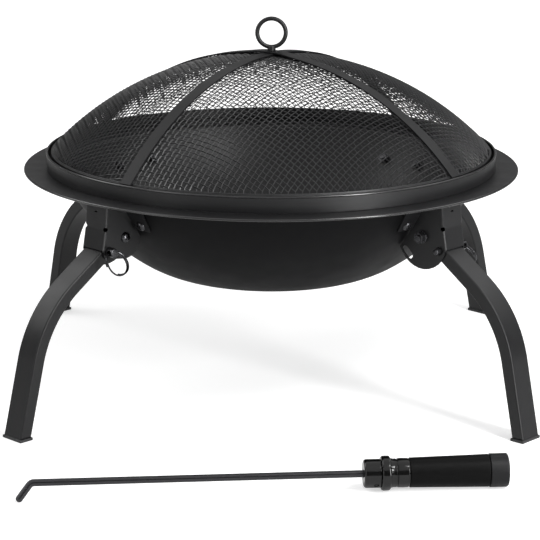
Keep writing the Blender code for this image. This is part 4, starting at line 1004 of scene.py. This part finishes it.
class FIREPIT_OT_poker(bpy.types.Operator):
    """Bends the poker's rod and turns its ferrule and grip"""

    bl_idname = "firepit.poker"
    bl_label = "Poker"

    def execute(self, context):
        place = poker_frame()
        self.part("bent_rod", self.rod(), oxide_rod(), "rod_steel", "poker_rod", place)
        self.part("turned_ferrule", self.ferrule(), gloss_enamel(), "ferrule_enamel", "poker_ferrule", place)
        grip = self.part("turned_grip", self.grip(), lacquered_wood(), "grip_wood", "poker_grip", place)
        grip.data.materials.append(gloss_enamel())
        grip.data.materials.append(wrinkle_paint())
        back = place.inverted()
        for face in grip.data.polygons:
            along = (back @ face.center).x
            face.material_index = 1 if along < COLLAR_END else 2 * int(along > BUTT_START)
        return {"FINISHED"}

    @staticmethod
    def part(name, mesh, material, slot, node, place):
        return piece(name, mesh, material, "poker_body", [node], place)

    @staticmethod
    def rod():
        """Drawn rod with its end bent into a short hook, its tip rounded."""
        tangent = HOOK_BEND * math.tan(HOOK_TURN / 2)
        bend = arc((-ROD_LENGTH + tangent, -HOOK_BEND), HOOK_BEND, QUARTER, QUARTER + HOOK_TURN, 14)
        drop = HOOK_LENGTH * math.sin(HOOK_TURN)
        tip = (-ROD_LENGTH - HOOK_LENGTH * math.cos(HOOK_TURN), -drop)
        roll = Matrix.Rotation(-math.acos(min((FLANGE_RADIUS - ROD_RADIUS) / drop, 1)), 3, "X")
        line = [roll @ Vector((x, 0, z)) for x, z in [(ROD_TAIL, 0.0)] + bend + [tip]]
        mesh = wires([line], ROD_RADIUS, 8)
        # The ball on the tip is a hair thinner than the rod, so that their surfaces don't coincide.
        bm = bmesh.new()
        bmesh.ops.create_uvsphere(bm, u_segments=32, v_segments=20, radius=ROD_RADIUS * 0.999)
        bmesh.ops.translate(bm, vec=line[-1], verts=bm.verts)
        return joined(mesh, faced_out(bm))

    @staticmethod
    def ferrule():
        """Plain gloss ferrule with a small peg across it."""
        front = arc((FERRULE_RADIUS - FERRULE_FRONT, FERRULE_FRONT), FERRULE_FRONT, -QUARTER, 0, 8)
        end = (FERRULE_RADIUS - FERRULE_BACK, FERRULE_LENGTH - FERRULE_BACK)
        back = arc(end, FERRULE_BACK, 0, QUARTER, 4)
        bore = ROD_RADIUS + ROD_PLAY
        mouth = [(bore, MOUTH_SOFT), (bore + MOUTH_SOFT, 0)]
        profile = mouth + front + back + [(FERRULE_BORE, FERRULE_LENGTH)]
        body = along_x(turned(profile + [profile[0]], 72))
        turn = Matrix.Rotation(PEG_TURN, 4, "X")
        place = turn @ Matrix.Translation((PEG_PLACE, FERRULE_RADIUS, 0))
        hollow = rod_along_y(HOLLOW_RADIUS, -HOLLOW_DEPTH, HOLLOW_RADIUS, 24)
        hollow.transform(place)
        head = dome_head(PEG_RADIUS, PEG_RISE, PEG_SEAT, 4)
        peg = turned_along_y(head + [(PEG_RADIUS, -PEG_DEPTH), (0, -PEG_DEPTH)], 20)
        peg.transform(place)
        return joined(cut(body, hollow), peg)

    @staticmethod
    def grip():
        """Flange, waist, collar, tapered grip and butt, parted by grooves, worked out in millimetres."""
        flange, flange_soft = FLANGE_RADIUS / MM, 2.5
        butt, butt_soft = 16.85, 1.8
        thin, thick, taper = 14.85, 16.3, 78.1
        x = FERRULE_LENGTH / MM + 0.3
        profile = [(0, x), (flange - flange_soft, x)]
        profile += arc((flange - flange_soft, x + flange_soft), flange_soft, -QUARTER, 0, 6)[1:]
        x += 9.5
        profile += arc((flange - flange_soft, x - flange_soft), flange_soft, 0, QUARTER, 6)
        x += 5.5
        profile += [(14.4, x - 3.4), (14.2, x - 2.2), (14.3, x)]
        x = groove(profile, x, 14.4)
        profile += [(14.5, x + 0.3), (14.7, x + 5.3), (14.5, x + 10.4)]
        x = groove(profile, x + 10.7, 14.5) + 0.4
        profile += [(thin + (thick - thin) * i / 12, x + taper * i / 12) for i in range(13)]
        x = groove(profile, x + taper + 0.4, thick)
        profile += [(butt - 0.3, x), (butt, x + 0.4)]
        x += 18.4
        profile += arc((butt - butt_soft, x - butt_soft), butt_soft, 0, QUARTER, 6)
        profile += [(8.0, x + 1.2), (0, x + 1.6)]
        return along_x(turned([(radius * MM, along * MM) for radius, along in profile], 96))


# Stage

PICTURE_WIDTH = 540
FOCAL_PIXELS = 2332
SHIFT_PIXELS = -0.82
SENSOR_WIDTH = 36.0
CAMERA_DISTANCE = 2.595
CAMERA_HEIGHT = 0.787
CAMERA_PITCH = 0.252
CAMERA_ROLL = math.radians(0.17)
LAMP_TARGET = PIT_AXIS + Vector((0, 0, 0.2))
# Each lamp's name, place from the target, size in metres and power in watts.
LAMPS = (
    ("right_front_box", (1.3, -1.45, 0.42), (0.36, 1.2), 36),
    ("left_front_box", (-1.5, -1.2, 0.42), (0.6, 1.2), 6),
    ("right_high_box", (0.9, -1.0, 1.5), (0.5, 0.5), 15),
    ("left_side_box", (-1.6, 0.15, 0.95), (0.8, 0.9), 6),
    ("right_side_box", (1.6, -0.2, 1.1), (0.8, 0.9), 4),
    ("left_rear_box", (-1.3, 0.65, 1.35), (0.6, 0.6), 3),
    ("right_rear_box", (1.3, 0.65, 1.35), (0.6, 0.6), 2),
)
FLOOR_SIZE = 6.0
FLOOR_DROP = 0.2 * MM
# How bright the floor looks in reflections, against 1 for the camera.
FLOOR_SHINE = 0.25
BACKDROP_RADIUS = 3.2
BACKDROP_HEIGHT = 2.0
# How bright the sky is for soft light, against 1 for the camera and in reflections.
SKY_FILL = 0.5


class FIREPIT_OT_stage(bpy.types.Operator):
    """Sets the floor, the soft lamps, the world and the camera"""

    bl_idname = "firepit.stage"
    bl_label = "Studio"

    def execute(self, context):
        self.camera(context)
        self.floor()
        self.world(context)
        self.backdrop()
        for lamp in LAMPS:
            self.lamp(*lamp)
        context.scene.view_settings.view_transform = "Standard"
        return {"FINISHED"}

    @staticmethod
    def camera(context):
        data = bpy.data.cameras.new("camera")
        data.sensor_width = SENSOR_WIDTH
        data.lens = FOCAL_PIXELS / PICTURE_WIDTH * SENSOR_WIDTH
        data.shift_x = SHIFT_PIXELS / PICTURE_WIDTH
        data.clip_start = 0.05
        data.clip_end = 50.0
        camera = linked("camera", data)
        place = Matrix.Translation((0, PIT_AXIS.y - CAMERA_DISTANCE, CAMERA_HEIGHT))
        tilt = Matrix.Rotation(QUARTER - CAMERA_PITCH, 4, "X")
        camera.matrix_world = place @ tilt @ Matrix.Rotation(CAMERA_ROLL, 4, "Z")
        context.scene.camera = camera

    @staticmethod
    def floor():
        bm = bmesh.new()
        bmesh.ops.create_grid(bm, x_segments=8, y_segments=8, size=FLOOR_SIZE)
        floor = linked("floor", mesh_of(bm, "floor"))
        floor.location.z = -FLOOR_DROP
        material = bpy.data.materials.new("pale floor")
        material.use_nodes = True
        tree = material.node_tree
        tree.nodes.clear()
        matt = add_node(tree, "ShaderNodeBsdfDiffuse", Color=colours().floor)
        rays = add_node(tree, "ShaderNodeLightPath")
        shine = add_node(tree, "ShaderNodeMath", {0: rays.outputs["Is Glossy Ray"]}, operation="MULTIPLY")
        shine.inputs[1].default_value = FLOOR_SHINE
        seen = {0: rays.outputs["Is Camera Ray"], 1: shine.outputs["Value"]}
        either = add_node(tree, "ShaderNodeMath", seen, operation="MAXIMUM")
        place = add_node(tree, "ShaderNodeTexCoord").outputs["Object"]
        away = add_node(tree, "ShaderNodeVectorMath", {0: place}, operation="LENGTH").outputs["Value"]
        # The floor glows less in the middle, where the fire pit stands in its own shade.
        fade = spread(tree, away, low=0.55, high=0.9, start=0.6, end=1.4)
        level = add_node(tree, "ShaderNodeMath", {0: either.outputs["Value"], 1: fade}, operation="MULTIPLY")
        glow = add_node(tree, "ShaderNodeEmission", {"Strength": level.outputs["Value"]}, Color=(1, 1, 1, 1))
        both = add_node(tree, "ShaderNodeAddShader", {0: matt.outputs["BSDF"], 1: glow.outputs["Emission"]})
        add_node(tree, "ShaderNodeOutputMaterial", {"Surface": both.outputs["Shader"]})
        floor.data.materials.append(material)

    @staticmethod
    def backdrop():
        """A round grey cloth behind the lamps, which a black object needs to look black."""
        bm = bmesh.new()
        bmesh.ops.create_circle(bm, segments=64, radius=BACKDROP_RADIUS)
        top = bmesh.ops.extrude_edge_only(bm, edges=bm.edges)
        verts = [item for item in top["geom"] if isinstance(item, bmesh.types.BMVert)]
        bmesh.ops.translate(bm, vec=(0, 0, BACKDROP_HEIGHT), verts=verts)
        cloth = linked("backdrop", mesh_of(bm, "backdrop"))
        cloth.visible_camera = False
        cloth.data.materials.append(new_finish("grey cloth", linear("#8c8c8c"), Roughness=0.9)[0])

    @staticmethod
    def world(context):
        world = bpy.data.worlds.new("studio")
        context.scene.world = world
        world.use_nodes = True
        tree = world.node_tree
        tree.nodes.clear()
        rays = add_node(tree, "ShaderNodeLightPath")
        seen = {0: rays.outputs["Is Camera Ray"], 1: rays.outputs["Is Glossy Ray"]}
        either = add_node(tree, "ShaderNodeMath", seen, operation="MAXIMUM")
        through = {0: either.outputs["Value"], 1: rays.outputs["Is Transmission Ray"]}
        any_ray = add_node(tree, "ShaderNodeMath", through, operation="MAXIMUM")
        level = spread(tree, any_ray.outputs["Value"], low=SKY_FILL, high=1.0, start=0.0, end=1.0)
        sky = add_node(tree, "ShaderNodeBackground", {"Strength": level})
        sky.inputs["Color"].default_value = (1, 1, 1, 1)
        add_node(tree, "ShaderNodeOutputWorld", {"Surface": sky.outputs["Background"]})

    @staticmethod
    def lamp(name, place, size, watts):
        data = bpy.data.lights.new(name, "AREA")
        data.shape = "RECTANGLE"
        data.size, data.size_y = size
        data.energy = watts
        lamp = linked(name, data)
        lamp.location = LAMP_TARGET + Vector(place)
        lamp.rotation_euler = (LAMP_TARGET - lamp.location).to_track_quat("-Z", "Y").to_euler()


OPERATORS = (
    FIREPIT_OT_bowl,
    FIREPIT_OT_lid_band,
    FIREPIT_OT_screen,
    FIREPIT_OT_straps,
    FIREPIT_OT_lift_ring,
    FIREPIT_OT_brackets,
    FIREPIT_OT_legs,
    FIREPIT_OT_fasteners,
    FIREPIT_OT_lock_pins,
    FIREPIT_OT_poker,
    FIREPIT_OT_stage,
)


class FIREPIT_PT_panel(bpy.types.Panel):
    """Lists the fire pit's pieces"""

    bl_idname = "FIREPIT_PT_panel"
    bl_label = "Fire pit"
    bl_space_type = "VIEW_3D"
    bl_region_type = "UI"
    bl_category = "Fire pit"

    def draw(self, context):
        for operator in OPERATORS:
            self.layout.operator(operator.bl_idname)
        for group in (context.scene.fire_pit_sizes, context.scene.fire_pit_colours):
            for name in group.bl_rna.properties.keys():
                if name not in ("rna_type", "name"):
                    self.layout.prop(group, name)


CLASSES = (FirePitSizes, FirePitColours, *OPERATORS, FIREPIT_PT_panel)


def register():
    for cls in CLASSES:
        bpy.utils.register_class(cls)
    bpy.types.Scene.fire_pit_sizes = PointerProperty(type=FirePitSizes)
    bpy.types.Scene.fire_pit_colours = PointerProperty(type=FirePitColours)


def unregister():
    del bpy.types.Scene.fire_pit_colours
    del bpy.types.Scene.fire_pit_sizes
    for cls in reversed(CLASSES):
        bpy.utils.unregister_class(cls)


def main():
    register()
    for operator in OPERATORS:
        name = operator.bl_idname.split(".")[1]
        getattr(bpy.ops.firepit, name)()


if __name__ == "__main__":
    main()
